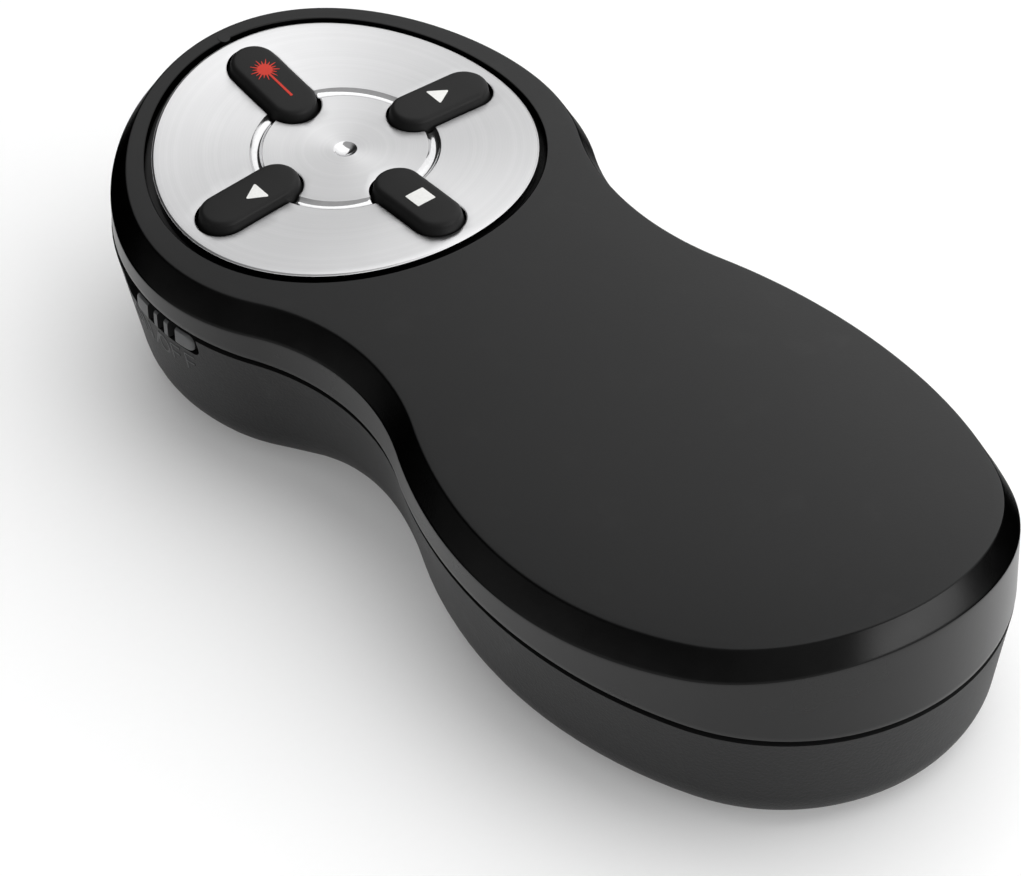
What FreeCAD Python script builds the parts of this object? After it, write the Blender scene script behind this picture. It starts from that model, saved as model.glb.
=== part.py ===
import FreeCAD, Part
import math
import os
import Sketcher
from FreeCAD import Placement, Rotation, Vector

# Hand-held wireless presenter with a waisted body, a saddle-shaped metal control disc and four keys.
# Frame: millimetres, +Z up, +Y towards the front, +X to the right, origin on the resting plane
# below the middle of the body.

os.makedirs("parts", exist_ok=True)
doc = FreeCAD.newDocument("presenter")
sheet = doc.addObject("Spreadsheet::Sheet", "Dimensions")


class Size:
    """A length with the spreadsheet expression it comes from."""

    def __init__(self, value, text):
        self.value = value
        self.text = text

    def join(self, other, sign, result):
        other_text = other.text if isinstance(other, Size) else repr(other)
        return Size(result, "(" + self.text + " " + sign + " " + other_text + ")")

    def __add__(self, other):
        return self.join(other, "+", self.value + number(other))

    def __sub__(self, other):
        return self.join(other, "-", self.value - number(other))

    def __mul__(self, other):
        return self.join(other, "*", self.value * number(other))

    def __truediv__(self, other):
        return self.join(other, "/", self.value / number(other))

    def __neg__(self):
        return Size(-self.value, "(0 - " + self.text + ")")


def number(item):
    return item.value if isinstance(item, Size) else item


CELLS = {
    # body outline seen from above, made of tangent arcs
    "head_radius": 22.75,
    "head_centre": 29.8,
    "tail_radius": 20.6,
    "waist_radius": 23.55,
    "flank_radius": 47.0,
    "tail_bulge": 2.57,
    # side view
    "wall": 1.8,
    "seam_drop": 7.33,
    "seam_tilt": 1.72,
    "seam_gap": 0.4,
    "seam_inset": 0.6,
    "cap_height": 15.0,
    "bowl_height": 20.0,
    "bowl_draft": 10.5,
    "belly_radius": 5.2,
    "belly_chamfer": 1.6,
    "arch_height": 2.1,
    "arch_centre": 8.4,
    "arch_reach": 17.0,
    "edge_inset": 1.52,
    "edge_drop": 2.66,
    "overrun": 6.0,
    "clearance": 0.2,
    # space above the crowned top
    "crown_margin": 4.25,
    "crown_top": 40.0,
    # control disc
    "disc_offset": 1.1,
    "disc_margin": 4.75,
    "disc_gap": 0.7,
    "disc_sink": 0.1,
    "disc_thickness": 0.8,
    "glue_line": 0.1,
    "ring_outer_share": 0.4945,
    "ring_inner_share": 0.4305,
    "ring_depth": 0.3,
    "dimple_radius": 1.6,
    "dimple_depth": 0.28,
    "deck_thickness": 3.2,
    # keys
    "key_orbit_share": 0.615,
    "key_length_share": 0.589,
    "key_width_share": 0.261,
    "key_rise": 1.2,
    "key_head": 2.0,
    "key_round": 0.65,
    "key_neck": 0.3,
    "key_clearance": 0.22,
    "key_skirt": 0.8,
    "key_skirt_thickness": 0.8,
    "key_slack": 0.05,
    # tact switches and board
    "switch_side": 4.6,
    "switch_height": 2.3,
    "plunger_radius": 1.1,
    "plunger_height": 0.9,
    "plunger_well": 1.2,
    "board_margin": 1.6,
    "board_clearance": 0.7,
    "board_thickness": 1.0,
    "key_stack": 3.0,
    "chip_height": 1.0,
    "controller_side": 6.0,
    "radio_side": 4.0,
    "crystal_length": 5.0,
    "crystal_width": 2.4,
    # status light
    "light_gap": 0.25,
    "light_radius": 0.6,
    "light_foot_gap": 0.85,
    "light_foot_height": 1.0,
    "led_margin": 1.4,
    "led_length": 1.6,
    "led_width": 1.0,
    "led_height": 0.7,
    # power switch
    "window_offset": 1.0,
    "window_length": 12.0,
    "window_height": 2.45,
    "window_round": 0.9,
    "knob_length": 9.3,
    "knob_height": 2.2,
    "knob_sink": 0.45,
    "knob_groove": 0.75,
    "knob_groove_depth": 0.7,
    "knob_pitch": 1.55,
    "knob_plate_depth": 4.05,
    "knob_plate_thickness": 0.7,
    "knob_plate_length": 11.0,
    "lever_side": 1.1,
    "lever_reach": 2.2,
    "slider_length": 7.6,
    "slider_width": 2.8,
    "slider_height": 2.2,
    "knob_travel": 2.4,
    # laser module
    "laser_level": 8.0,
    "laser_radius": 3.2,
    "laser_setback": 16.15,
    "laser_length": 13.0,
    "laser_bore": 2.2,
    "lens_thickness": 1.2,
    "pane_radius": 2.3,
    "saddle_width": 9.0,
    "saddle_length": 3.0,
    # fasteners
    "screw_side_share": 0.639,
    "screw_station_share": 0.522,
    "screw_rear_gap": 3.9,
    "screw_rear_setback": 20.7,
    "screw_radius": 1.0,
    "screw_length": 11.5,
    "screw_head_radius": 1.9,
    "screw_head_height": 1.4,
    "screw_seat": 4.0,
    "screw_bore": 2.3,
    "screw_slot": 0.5,
    "boss_radius": 2.4,
    "boss_foot_radius": 3.4,
    "boss_rise": 0.2,
    # cells and contacts
    "cell_radius": 5.2,
    "cell_length": 44.5,
    "cell_nub_length": 0.9,
    "cell_nub_radius": 1.9,
    "cell_gap": 0.5,
    "cell_lift": 3.8,
    "bay_front": 2.7,
    "tail_share": 0.648,
    "spring_length": 3.5,
    "spring_strip": 0.3,
    "spring_width": 4.0,
    "contact_thickness": 0.4,
    "contact_width": 8.4,
    "contact_height": 7.6,
    "rib_thickness": 1.2,
    "rib_gap": 0.75,
    "rib_rise": 1.5,
    # battery door
    "door_setback": 2.3,
    "door_shortfall": 4.4,
    "door_margin": 0.35,
    "door_round": 3.0,
    "door_grip_width": 9.0,
    "door_grip_groove": 0.8,
    "door_grip_pitch": 1.8,
    "door_grip_depth": 0.45,
    "door_grip_margin": 5.1,
    # receiver
    "receiver_lead": 23.8,
    "receiver_body_length": 9.0,
    "receiver_width": 15.4,
    "receiver_base": 2.0,
    "receiver_height": 6.4,
    "receiver_round": 1.0,
    "receiver_clearance": 0.3,
    "plug_width": 12.0,
    "plug_height": 4.5,
    "plug_length": 11.6,
    "plug_wall": 0.35,
    "plug_window": 2.4,
    "tongue_height": 1.9,
    "bay_wall": 1.2,
}

FOLLOWING = {
    # what follows the sizes above: first the stack from the laser up to the disc, then the plan
    "board_top": "laser_level + laser_radius + board_clearance + board_thickness",
    "deck_underside": "board_top + switch_height + key_stack",
    "disc_height": "deck_underside + deck_thickness",
    "seam_height": "disc_height - seam_drop",
    "boss_meet": "board_top + boss_rise",
    "light_foot_level": "board_top + light_foot_gap",
    "disc_centre": "head_centre + disc_offset",
    "disc_radius": "head_radius - disc_margin",
    "crown_half_width": "head_radius + crown_margin",
    "ring_outer": "disc_radius * ring_outer_share",
    "ring_inner": "disc_radius * ring_inner_share",
    "key_orbit": "disc_radius * key_orbit_share",
    "key_length": "disc_radius * key_length_share",
    "key_width": "disc_radius * key_width_share",
    "board_radius": "disc_radius - board_margin",
    "light_orbit": "disc_radius + disc_gap + light_gap",
    "led_centre": "disc_centre + board_radius - led_margin",
    "window_centre": "head_centre + window_offset",
    "knob_plate_face": "head_radius - knob_plate_depth",
    "laser_start": "head_centre + head_radius - laser_setback",
    "receiver_rear": "laser_start - receiver_lead",
    "screw_front_side": "disc_radius * screw_side_share",
    "screw_front_station": "disc_centre - disc_radius * screw_station_share",
    "cell_side": "cell_radius + cell_gap / 2",
    "cell_level": "cell_radius + cell_lift",
    "bay_rear": "bay_front - cell_length - spring_length",
    "tail_centre": "bay_rear + tail_radius * tail_share",
    "tail_half_width": "tail_radius + tail_bulge",
    "rib_side": "cell_side + cell_radius + rib_gap",
    "rib_top": "cell_level + rib_rise",
    "screw_rear_side": "rib_side + screw_rear_gap",
    "screw_rear_station": "bay_front - screw_rear_setback",
    "door_rear": "bay_rear + door_setback",
    "door_length": "cell_length + spring_length - door_shortfall",
    "door_width": "(cell_side + cell_radius + door_margin) * 2",
    "door_grip_station": "door_rear + door_length - door_grip_margin",
    "nose_reach": "head_centre + head_radius - disc_centre",
    "body_reach": "disc_centre - tail_centre + tail_radius",
}

CROWN_SHARES = (
    # shares of the way from the disc's centre to the nose, or to the tail's end behind the centre:
    # station, height over the disc's centre, crosswise radius
    (1.2471, 0.16166, 7.852),
    (0.6236, 0.04157, 8.083),
    (0.0, 0.0, 2.157),
    (-0.1618, 0.00779, 1.378),
    (-0.3116, 0.00779, 1.138),
    (-0.5033, 0.00599, 1.138),
    (-0.695, 0.00899, 1.138),
    (-0.8628, 0.01977, 1.138),
    (-1.0306, 0.04074, 1.138),
)

rows = dict(CELLS)
for word, formula in FOLLOWING.items():
    rows[word] = "=" + formula
for letter, shares in zip("abcdefghi", CROWN_SHARES):
    reach = "nose_reach" if shares[0] > 0 else "body_reach"
    for word, share in zip(("station", "height", "radius"), shares):
        rows["crown_" + word + "_share_" + letter] = share
        rows["crown_" + word + "_" + letter] = "=" + reach + " * crown_" + word + "_share_" + letter


class Table:
    pass


size = Table()
for row, (word, amount) in enumerate(rows.items(), start=1):
    sheet.set("A" + str(row), str(amount))
    sheet.setAlias("A" + str(row), word)
doc.recompute()
for word in rows:
    setattr(size, word, Size(float(sheet.get(word)), "Dimensions." + word))
zero = Size(0, "0")


def bind(item, path, amount):
    """Bind a property of a document object to a size."""
    if isinstance(amount, Size):
        item.setExpression(path, amount.text)


def locate(item, x=zero, y=zero, z=zero, axis=Vector(0, 0, 1), angle=zero):
    """Place an object; the position and the angle follow the sizes given."""
    item.Placement = Placement(
        Vector(number(x), number(y), number(z)), Rotation(axis, number(angle))
    )
    bind(item, "Placement.Base.x", x)
    bind(item, "Placement.Base.y", y)
    bind(item, "Placement.Base.z", z)
    if isinstance(angle, Size) and angle.text != "0":
        bind(item, "Placement.Rotation.Angle", angle)
    return item


def origin_plane(body, role):
    return [item for item in body.Origin.OriginFeatures if item.Role == role][0]


def new_body(name):
    return doc.addObject("PartDesign::Body", name)


def new_sketch(body, name, role="XY_Plane", level=zero, tilt=zero):
    """Add a sketch to a body, parallel to one of its origin planes at a level."""
    sketch = body.newObject("Sketcher::SketchObject", name)
    sketch.AttachmentSupport = [(origin_plane(body, role), "")]
    sketch.MapMode = "FlatFace"
    sketch.AttachmentOffset = Placement(
        Vector(0, 0, number(level)), Rotation(Vector(1, 0, 0), number(tilt))
    )
    if isinstance(level, Size):
        bind(sketch, ".AttachmentOffset.Base.z", level)
    if isinstance(tilt, Size) and tilt.text != "0":
        bind(sketch, ".AttachmentOffset.Rotation.Angle", tilt)
    return sketch


def fix(sketch, kind, *items):
    """Add one constraint; a size as last item is bound to the spreadsheet."""
    plain = [number(item) for item in items]
    index = sketch.addConstraint(Sketcher.Constraint(kind, *plain))
    if isinstance(items[-1], Size):
        sketch.setExpression("Constraints[" + str(index) + "]", items[-1].text)
    return index


def draw_circle(sketch, x, y, radius):
    centre = Vector(number(x), number(y), 0)
    circle = sketch.addGeometry(Part.Circle(centre, Vector(0, 0, 1), number(radius)), False)
    fix(sketch, "DistanceX", -1, 1, circle, 3, x)
    fix(sketch, "DistanceY", -1, 1, circle, 3, y)
    fix(sketch, "Radius", circle, radius)
    return circle


def draw_rectangle(sketch, x, y, width, height):
    """Draw a rectangle from its lower left corner."""
    left = number(x)
    low = number(y)
    right = left + number(width)
    high = low + number(height)
    corners = [(left, low), (right, low), (right, high), (left, high)]
    lines = []
    for start, end in zip(corners, corners[1:] + corners[:1]):
        segment = Part.LineSegment(Vector(*start, 0), Vector(*end, 0))
        lines.append(sketch.addGeometry(segment, False))
    for first, second in zip(lines, lines[1:] + lines[:1]):
        fix(sketch, "Coincident", first, 2, second, 1)
    fix(sketch, "Horizontal", lines[0])
    fix(sketch, "Horizontal", lines[2])
    fix(sketch, "Vertical", lines[1])
    fix(sketch, "Vertical", lines[3])
    fix(sketch, "DistanceX", -1, 1, lines[0], 1, x)
    fix(sketch, "DistanceY", -1, 1, lines[0], 1, y)
    fix(sketch, "DistanceX", lines[0], 1, lines[0], 2, width)
    fix(sketch, "DistanceY", lines[1], 1, lines[1], 2, height)
    return lines


def draw_arc(sketch, centre, radius, start, end):
    """Draw an arc, angles in radians, turning anticlockwise."""
    circle = Part.Circle(Vector(centre[0], centre[1], 0), Vector(0, 0, 1), radius)
    return sketch.addGeometry(Part.ArcOfCircle(circle, start, end), False)


def draw_rounded(sketch, x, y, width, height, radius):
    """Draw a rectangle with four equal rounded corners, centred on x and y."""
    right = number(x) + number(width) / 2
    left = number(x) - number(width) / 2
    high = number(y) + number(height) / 2
    low = number(y) - number(height) / 2
    bend = number(radius)
    turn = math.pi / 2
    arcs = [
        draw_arc(sketch, (right - bend, high - bend), bend, 0, turn),
        draw_arc(sketch, (left + bend, high - bend), bend, turn, 2 * turn),
        draw_arc(sketch, (left + bend, low + bend), bend, 2 * turn, 3 * turn),
        draw_arc(sketch, (right - bend, low + bend), bend, 3 * turn, 4 * turn),
    ]
    ends = [
        (Vector(right - bend, high, 0), Vector(left + bend, high, 0)),
        (Vector(left, high - bend, 0), Vector(left, low + bend, 0)),
        (Vector(left + bend, low, 0), Vector(right - bend, low, 0)),
        (Vector(right, low + bend, 0), Vector(right, high - bend, 0)),
    ]
    lines = [sketch.addGeometry(Part.LineSegment(*pair), False) for pair in ends]
    for place in range(4):
        fix(sketch, "Tangent", arcs[place], 2, lines[place], 1)
        fix(sketch, "Tangent", lines[place], 2, arcs[(place + 1) % 4], 1)
    fix(sketch, "Horizontal", lines[0])
    fix(sketch, "Vertical", lines[1])
    for arc in arcs[1:]:
        fix(sketch, "Equal", arcs[0], arc)
    fix(sketch, "Radius", arcs[0], radius)
    fix(sketch, "DistanceX", -1, 1, arcs[0], 3, x + width / 2 - radius)
    fix(sketch, "DistanceY", -1, 1, arcs[0], 3, y + height / 2 - radius)
    fix(sketch, "DistanceX", -1, 1, arcs[2], 3, x - width / 2 + radius)
    fix(sketch, "DistanceY", -1, 1, arcs[2], 3, y - height / 2 + radius)


def draw_slot(sketch, x, length, width):
    """Draw a round-ended slot along the sketch's x direction, centred on x."""
    reach = (length - width) / 2
    radius = width / 2
    right = number(x + reach)
    left = number(x - reach)
    bend = number(radius)
    quarter = math.pi / 2
    front = draw_arc(sketch, (right, 0), bend, -quarter, quarter)
    back = draw_arc(sketch, (left, 0), bend, quarter, 3 * quarter)
    upper = sketch.addGeometry(
        Part.LineSegment(Vector(right, bend, 0), Vector(left, bend, 0)), False
    )
    lower = sketch.addGeometry(
        Part.LineSegment(Vector(left, -bend, 0), Vector(right, -bend, 0)), False
    )
    fix(sketch, "Tangent", front, 2, upper, 1)
    fix(sketch, "Tangent", upper, 2, back, 1)
    fix(sketch, "Tangent", back, 2, lower, 1)
    fix(sketch, "Tangent", lower, 2, front, 1)
    fix(sketch, "PointOnObject", front, 3, -1)
    fix(sketch, "PointOnObject", back, 3, -1)
    fix(sketch, "DistanceX", -1, 1, front, 3, x + reach)
    fix(sketch, "DistanceX", -1, 1, back, 3, x - reach)
    fix(sketch, "Radius", front, radius)


def draw_outline(sketch, inset, lean=zero):
    """Draw the waisted outline of the body with six tangent arcs, moved inwards by an inset.

    The lean adds to the inset at the head and takes the same from it at the tail.
    """
    head = size.head_radius - inset - lean
    tail = size.tail_radius - inset + lean
    waist = size.waist_radius + inset
    flank = size.flank_radius - inset
    flank_x = size.tail_half_width - size.flank_radius
    # starting positions of the arc centres, from the distances between tangent circles
    spread = flank.value - tail.value
    flank_y = size.tail_centre.value + math.sqrt(spread**2 - flank_x.value**2)
    reach_head = head.value + waist.value
    reach_flank = flank.value + waist.value
    across = flank_x.value
    along = flank_y - size.head_centre.value
    gap = math.hypot(across, along)
    foot = (reach_head**2 - reach_flank**2 + gap**2) / (2 * gap)
    rise = math.sqrt(reach_head**2 - foot**2)
    waist_x = (foot * across - rise * along) / gap
    waist_y = size.head_centre.value + (foot * along + rise * across) / gap
    to_head = math.atan2(size.head_centre.value - waist_y, -waist_x)
    to_flank = math.atan2(flank_y - waist_y, flank_x.value - waist_x) + 2 * math.pi
    to_waist = math.atan2(waist_y - flank_y, waist_x - flank_x.value)
    to_tail = math.atan2(size.tail_centre.value - flank_y, -flank_x.value)
    half = math.pi
    arcs = [
        draw_arc(sketch, (0, size.head_centre.value), head.value, to_head - half, 2 * half - to_head),
        draw_arc(sketch, (-waist_x, waist_y), waist.value, half - to_flank, half - to_head),
        draw_arc(sketch, (-flank_x.value, flank_y), flank.value, half - to_waist, half - to_tail),
        draw_arc(sketch, (0, size.tail_centre.value), tail.value, half - to_tail, 2 * half + to_tail),
        draw_arc(sketch, (flank_x.value, flank_y), flank.value, to_tail, to_waist),
        draw_arc(sketch, (waist_x, waist_y), waist.value, to_head, to_flank),
    ]
    joins = ((0, 2, 1, 2), (1, 1, 2, 1), (2, 2, 3, 1), (3, 2, 4, 1), (4, 2, 5, 2), (5, 1, 0, 1))
    for first, end, second, start in joins:
        fix(sketch, "Tangent", arcs[first], end, arcs[second], start)
    fix(sketch, "PointOnObject", arcs[0], 3, -2)
    fix(sketch, "DistanceY", -1, 1, arcs[0], 3, size.head_centre)
    fix(sketch, "Radius", arcs[0], head)
    fix(sketch, "PointOnObject", arcs[3], 3, -2)
    fix(sketch, "DistanceY", -1, 1, arcs[3], 3, size.tail_centre)
    fix(sketch, "Radius", arcs[3], tail)
    fix(sketch, "Equal", arcs[1], arcs[5])
    fix(sketch, "Radius", arcs[1], waist)
    fix(sketch, "Equal", arcs[2], arcs[4])
    fix(sketch, "Radius", arcs[2], flank)
    fix(sketch, "DistanceX", -1, 1, arcs[4], 3, flank_x)
    fix(sketch, "DistanceX", -1, 1, arcs[2], 3, -flank_x)


def pad(body, sketch, length, reverse=False, taper=None):
    feature = body.newObject("PartDesign::Pad", sketch.Name + "_pad")
    feature.Profile = sketch
    feature.Length = number(length)
    bind(feature, "Length", length)
    feature.Reversed = reverse
    if taper is not None:
        feature.TaperAngle = number(taper)
        bind(feature, "TaperAngle", taper)
    doc.recompute()
    return feature


def prism(name, draw, low, height, role="XY_Plane"):
    """Make a body from one padded sketch; draw is called with the sketch."""
    body = new_body(name)
    sketch = new_sketch(body, name + "_outline", role, low)
    draw(sketch)
    pad(body, sketch, height)
    return body


def box(name, x, y, z, length, width, height):
    item = doc.addObject("Part::Box", name)
    for path, amount in (("Length", length), ("Width", width), ("Height", height)):
        setattr(item, path, number(amount))
        bind(item, path, amount)
    return locate(item, x, y, z)


def cylinder(name, x, y, z, radius, height, axis=Vector(0, 0, 1), angle=zero):
    item = doc.addObject("Part::Cylinder", name)
    for path, amount in (("Radius", radius), ("Height", height)):
        setattr(item, path, number(amount))
        bind(item, path, amount)
    locate(item, x, y, z)
    if number(angle):
        item.Placement = Placement(item.Placement.Base, Rotation(axis, number(angle)))
    return item


def cut(name, base, tool):
    item = doc.addObject("Part::Cut", name)
    item.Base = base
    item.Tool = tool
    item.Refine = True
    return item


def fuse(name, shapes):
    item = doc.addObject("Part::MultiFuse", name)
    item.Shapes = shapes
    item.Refine = True
    return item


def common(name, first, second):
    item = doc.addObject("Part::MultiCommon", name)
    item.Shapes = [first, second]
    item.Refine = True
    return item


def group(name, shapes):
    item = doc.addObject("Part::Compound", name)
    item.Links = shapes
    return item


def shifted(name, source, x=zero, y=zero, z=zero, angle=zero):
    """Copy an object to another place, turned about the vertical."""
    return locate(group(name, [source]), x, y, z, angle=angle)


def extend_body(name, base):
    """Start a body from a finished solid, so that further features can follow."""
    body = new_body(name)
    body.BaseFeature = base
    doc.recompute()
    return body


# crown tool: a loft through arched sections, the space above the saddle-shaped top face
def crown_section(letter):
    station = getattr(size, "crown_station_" + letter)
    height = getattr(size, "crown_height_" + letter) + size.disc_height
    radius = getattr(size, "crown_radius_" + letter)
    sketch = doc.addObject("Sketcher::SketchObject", "crown_section_" + letter)
    half = size.crown_half_width.value
    centre = height.value - radius.value
    side = centre + math.sqrt(radius.value**2 - half**2)
    top = size.crown_top.value
    lean = math.asin(half / radius.value)
    arc = draw_arc(sketch, (0, centre), radius.value, math.pi / 2 - lean, math.pi / 2 + lean)
    points = [Vector(-half, side, 0), Vector(-half, top, 0), Vector(half, top, 0), Vector(half, side, 0)]
    lines = []
    for start, end in zip(points, points[1:]):
        lines.append(sketch.addGeometry(Part.LineSegment(start, end), False))
    fix(sketch, "Coincident", arc, 2, lines[0], 1)
    fix(sketch, "Coincident", lines[0], 2, lines[1], 1)
    fix(sketch, "Coincident", lines[1], 2, lines[2], 1)
    fix(sketch, "Coincident", lines[2], 2, arc, 1)
    fix(sketch, "Vertical", lines[0])
    fix(sketch, "Horizontal", lines[1])
    fix(sketch, "Vertical", lines[2])
    fix(sketch, "PointOnObject", arc, 3, -2)
    fix(sketch, "Radius", arc, radius)
    fix(sketch, "DistanceY", -1, 1, arc, 3, height - radius)
    fix(sketch, "DistanceX", -1, 1, lines[0], 2, -size.crown_half_width)
    fix(sketch, "DistanceX", -1, 1, lines[1], 2, size.crown_half_width)
    fix(sketch, "DistanceY", -1, 1, lines[1], 1, size.crown_top)
    sketch.Placement = Placement(
        Vector(0, number(size.disc_centre + station), 0), Rotation(Vector(1, 0, 0), 90)
    )
    bind(sketch, ".Placement.Base.y", size.disc_centre + station)
    return sketch


crown = doc.addObject("Part::Loft", "crown")
crown.Sections = [crown_section(letter) for letter in "abcdefghi"]
crown.Solid = True
crown.Ruled = False
doc.recompute()


def crown_below(name, depth):
    """The space above the top face moved down by a depth."""
    return shifted(name, crown, z=-depth)


# upper shell: block, crown, bevelled rim
def outline_body(name, inset, level, height, reverse=False, taper=None):
    body = new_body(name)
    sketch = new_sketch(body, name + "_outline", "XY_Plane", level, size.seam_tilt)
    draw_outline(sketch, inset)
    pad(body, sketch, height, reverse, taper)
    return body


cap_block = outline_body("cap_block", zero, size.seam_height, size.cap_height)
cap_domed = cut("cap_domed", cap_block, crown)
doc.recompute()
cap = extend_body("cap", cap_domed)


def rim_edges(shape, low):
    """Names of the edges between the crowned face and the side walls."""
    names = []
    for place, edge in enumerate(shape.Edges, start=1):
        if edge.BoundBox.ZMin > low:
            names.append("Edge" + str(place))
    return names


rim = cap.newObject("PartDesign::Chamfer", "cap_rim")
crown_low = size.disc_height.value - size.edge_drop.value
base_feature = [item for item in cap.Group if item.TypeId == "PartDesign::FeatureBase"][0]
rim.Base = (base_feature, rim_edges(base_feature.Shape, crown_low))
rim.ChamferType = "Two distances"
rim.Size = size.edge_inset.value
rim.Size2 = size.edge_drop.value
rim.FlipDirection = True
bind(rim, "Size", size.edge_inset)
bind(rim, "Size2", size.edge_drop)
doc.recompute()


# lower shell: tapering bowl with an arched underside, rolled into the side walls
def draw_underside(sketch, level):
    """Side view of the space under the body: flat, a smooth arch at the waist, flat."""
    far = size.cap_height * 6
    deep = size.bowl_height
    rise = size.arch_height
    reach = size.arch_reach
    bend = (reach.value**2 + rise.value**2) / (4 * rise.value)
    lean = math.asin(reach.value / (2 * bend))
    middle = size.arch_centre.value
    base = level.value
    turn = math.pi / 2
    rear = draw_arc(sketch, (middle - reach.value, base + bend), bend, 3 * turn, 3 * turn + lean)
    arch = draw_arc(sketch, (middle, base + rise.value - bend), bend, turn - lean, turn + lean)
    front = draw_arc(sketch, (middle + reach.value, base + bend), bend, 3 * turn - lean, 3 * turn)
    points = [
        Vector(middle + reach.value, base, 0),
        Vector(far.value, base, 0),
        Vector(far.value, base - deep.value, 0),
        Vector(-far.value, base - deep.value, 0),
        Vector(-far.value, base, 0),
        Vector(middle - reach.value, base, 0),
    ]
    lines = []
    for start, end in zip(points, points[1:]):
        lines.append(sketch.addGeometry(Part.LineSegment(start, end), False))
    fix(sketch, "Tangent", rear, 2, arch, 2)
    fix(sketch, "Tangent", arch, 1, front, 1)
    fix(sketch, "Tangent", front, 2, lines[0], 1)
    fix(sketch, "Tangent", rear, 1, lines[4], 2)
    for first, second in zip(lines, lines[1:]):
        fix(sketch, "Coincident", first, 2, second, 1)
    fix(sketch, "Horizontal", lines[0])
    fix(sketch, "Vertical", lines[1])
    fix(sketch, "Horizontal", lines[2])
    fix(sketch, "Vertical", lines[3])
    fix(sketch, "Horizontal", lines[4])
    fix(sketch, "Equal", rear, front)
    fix(sketch, "Equal", rear, arch)
    fix(sketch, "DistanceX", -1, 1, arch, 3, size.arch_centre)
    fix(sketch, "DistanceX", -1, 1, rear, 3, size.arch_centre - reach)
    fix(sketch, "DistanceY", -1, 1, lines[0], 1, level)
    fix(sketch, "DistanceX", -1, 1, lines[1], 1, far)
    fix(sketch, "DistanceX", -1, 1, lines[3], 1, -far)
    fix(sketch, "DistanceY", -1, 1, lines[2], 1, level - deep)


def belly_edges(shape, level):
    """Names of the edges where the underside meets the side walls."""
    names = []
    top = level.value + size.arch_height.value + size.clearance.value
    for place, edge in enumerate(shape.Edges, start=1):
        spots = [vertex.Point for vertex in edge.Vertexes] + [edge.valueAt(edge.ParameterRange[0])]
        high = max(spot.z for spot in spots)
        across = max(spot.y for spot in spots) - min(spot.y for spot in spots)
        crosswise = len(edge.Vertexes) == 2 and across < size.clearance.value / 10
        flat = isinstance(edge.Curve, Part.Line) and crosswise
        if high < top and not flat:
            names.append("Edge" + str(place))
    return names


def floor_edges(shape, level):
    """Names of the edges round the flat lower face of a solid."""
    names = []
    for place, edge in enumerate(shape.Edges, start=1):
        if all(abs(vertex.Point.z - level.value) < size.clearance.value for vertex in edge.Vertexes):
            names.append("Edge" + str(place))
    return names


# the walls lean outwards from the floor, and meet the tilted seam right below the upper shell
seam_slope = Size(math.tan(math.radians(size.seam_tilt.value)), "tan(Dimensions.seam_tilt * 1 deg)")
draft_slope = Size(math.tan(math.radians(size.bowl_draft.value)), "tan(Dimensions.bowl_draft * 1 deg)")
seam_middle = size.seam_height - size.seam_gap + (size.head_centre + size.tail_centre) / 2 * seam_slope
floor_inset = seam_middle * draft_slope
floor_lean = (size.head_centre - size.tail_centre) / 2 * seam_slope * draft_slope


def bowl(name, level, wall):
    """A solid that tapers to its floor, with the space under the arch taken out of it.

    The outer form has a rolled edge round its floor, the inner one a bevel.
    """
    body = new_body(name)
    sketch = new_sketch(body, name + "_outline", "XY_Plane", level)
    draw_outline(sketch, floor_inset - level * draft_slope + wall, floor_lean)
    last = pad(body, sketch, size.bowl_height, taper=size.bowl_draft)
    if wall.value:
        bevel = body.newObject("PartDesign::Chamfer", name + "_bevel")
        bevel.Base = (last, floor_edges(last.Shape, level))
        bevel.Size = size.belly_chamfer.value
        bind(bevel, "Size", size.belly_chamfer)
        doc.recompute()
    side = new_sketch(body, name + "_side", "YZ_Plane")
    draw_underside(side, level)
    pocket = body.newObject("PartDesign::Pocket", name + "_underside")
    pocket.Profile = side
    pocket.Type = "ThroughAll"
    pocket.Midplane = True
    doc.recompute()
    if not wall.value:
        roll = body.newObject("PartDesign::Fillet", name + "_belly")
        roll.Base = (pocket, belly_edges(pocket.Shape, level))
        roll.Radius = size.belly_radius.value
        bind(roll, "Radius", size.belly_radius)
        doc.recompute()
    return body


bowl_full_height = bowl("bowl_full_height", zero, zero)
above_seam = outline_body("above_seam", -size.overrun, size.seam_height - size.seam_gap, size.bowl_height)
bowl_outer = cut("bowl_outer", bowl_full_height, above_seam)
bowl_space = bowl("bowl_space", size.wall, size.wall)

# the lip of the bowl stands inside the groove between the shells
lip = outline_body("lip", size.seam_inset, size.seam_height - size.seam_gap, size.seam_gap)

# openings and fittings of the lower shell
bowl_shell = cut("bowl_shell", bowl_outer, bowl_space)
lip_ring = cut("lip_ring", lip, bowl_space)

deep = size.overrun
floor_up = size.wall / 2


def boss(name, side, station, low, high, radius):
    return [
        cylinder(name + "_right", side, station, low, radius, high - low),
        cylinder(name + "_left", -side, station, low, radius, high - low),
    ]


board_low = size.board_top - size.board_thickness
inner = []
inner += boss(
    "front_foot", size.screw_front_side, size.screw_front_station, floor_up, board_low, size.boss_foot_radius
)
inner += boss(
    "front_boss", size.screw_front_side, size.screw_front_station, floor_up, size.boss_meet, size.boss_radius
)
inner += boss(
    "rear_boss", size.screw_rear_side, size.screw_rear_station, floor_up, size.boss_meet, size.boss_radius
)
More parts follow.
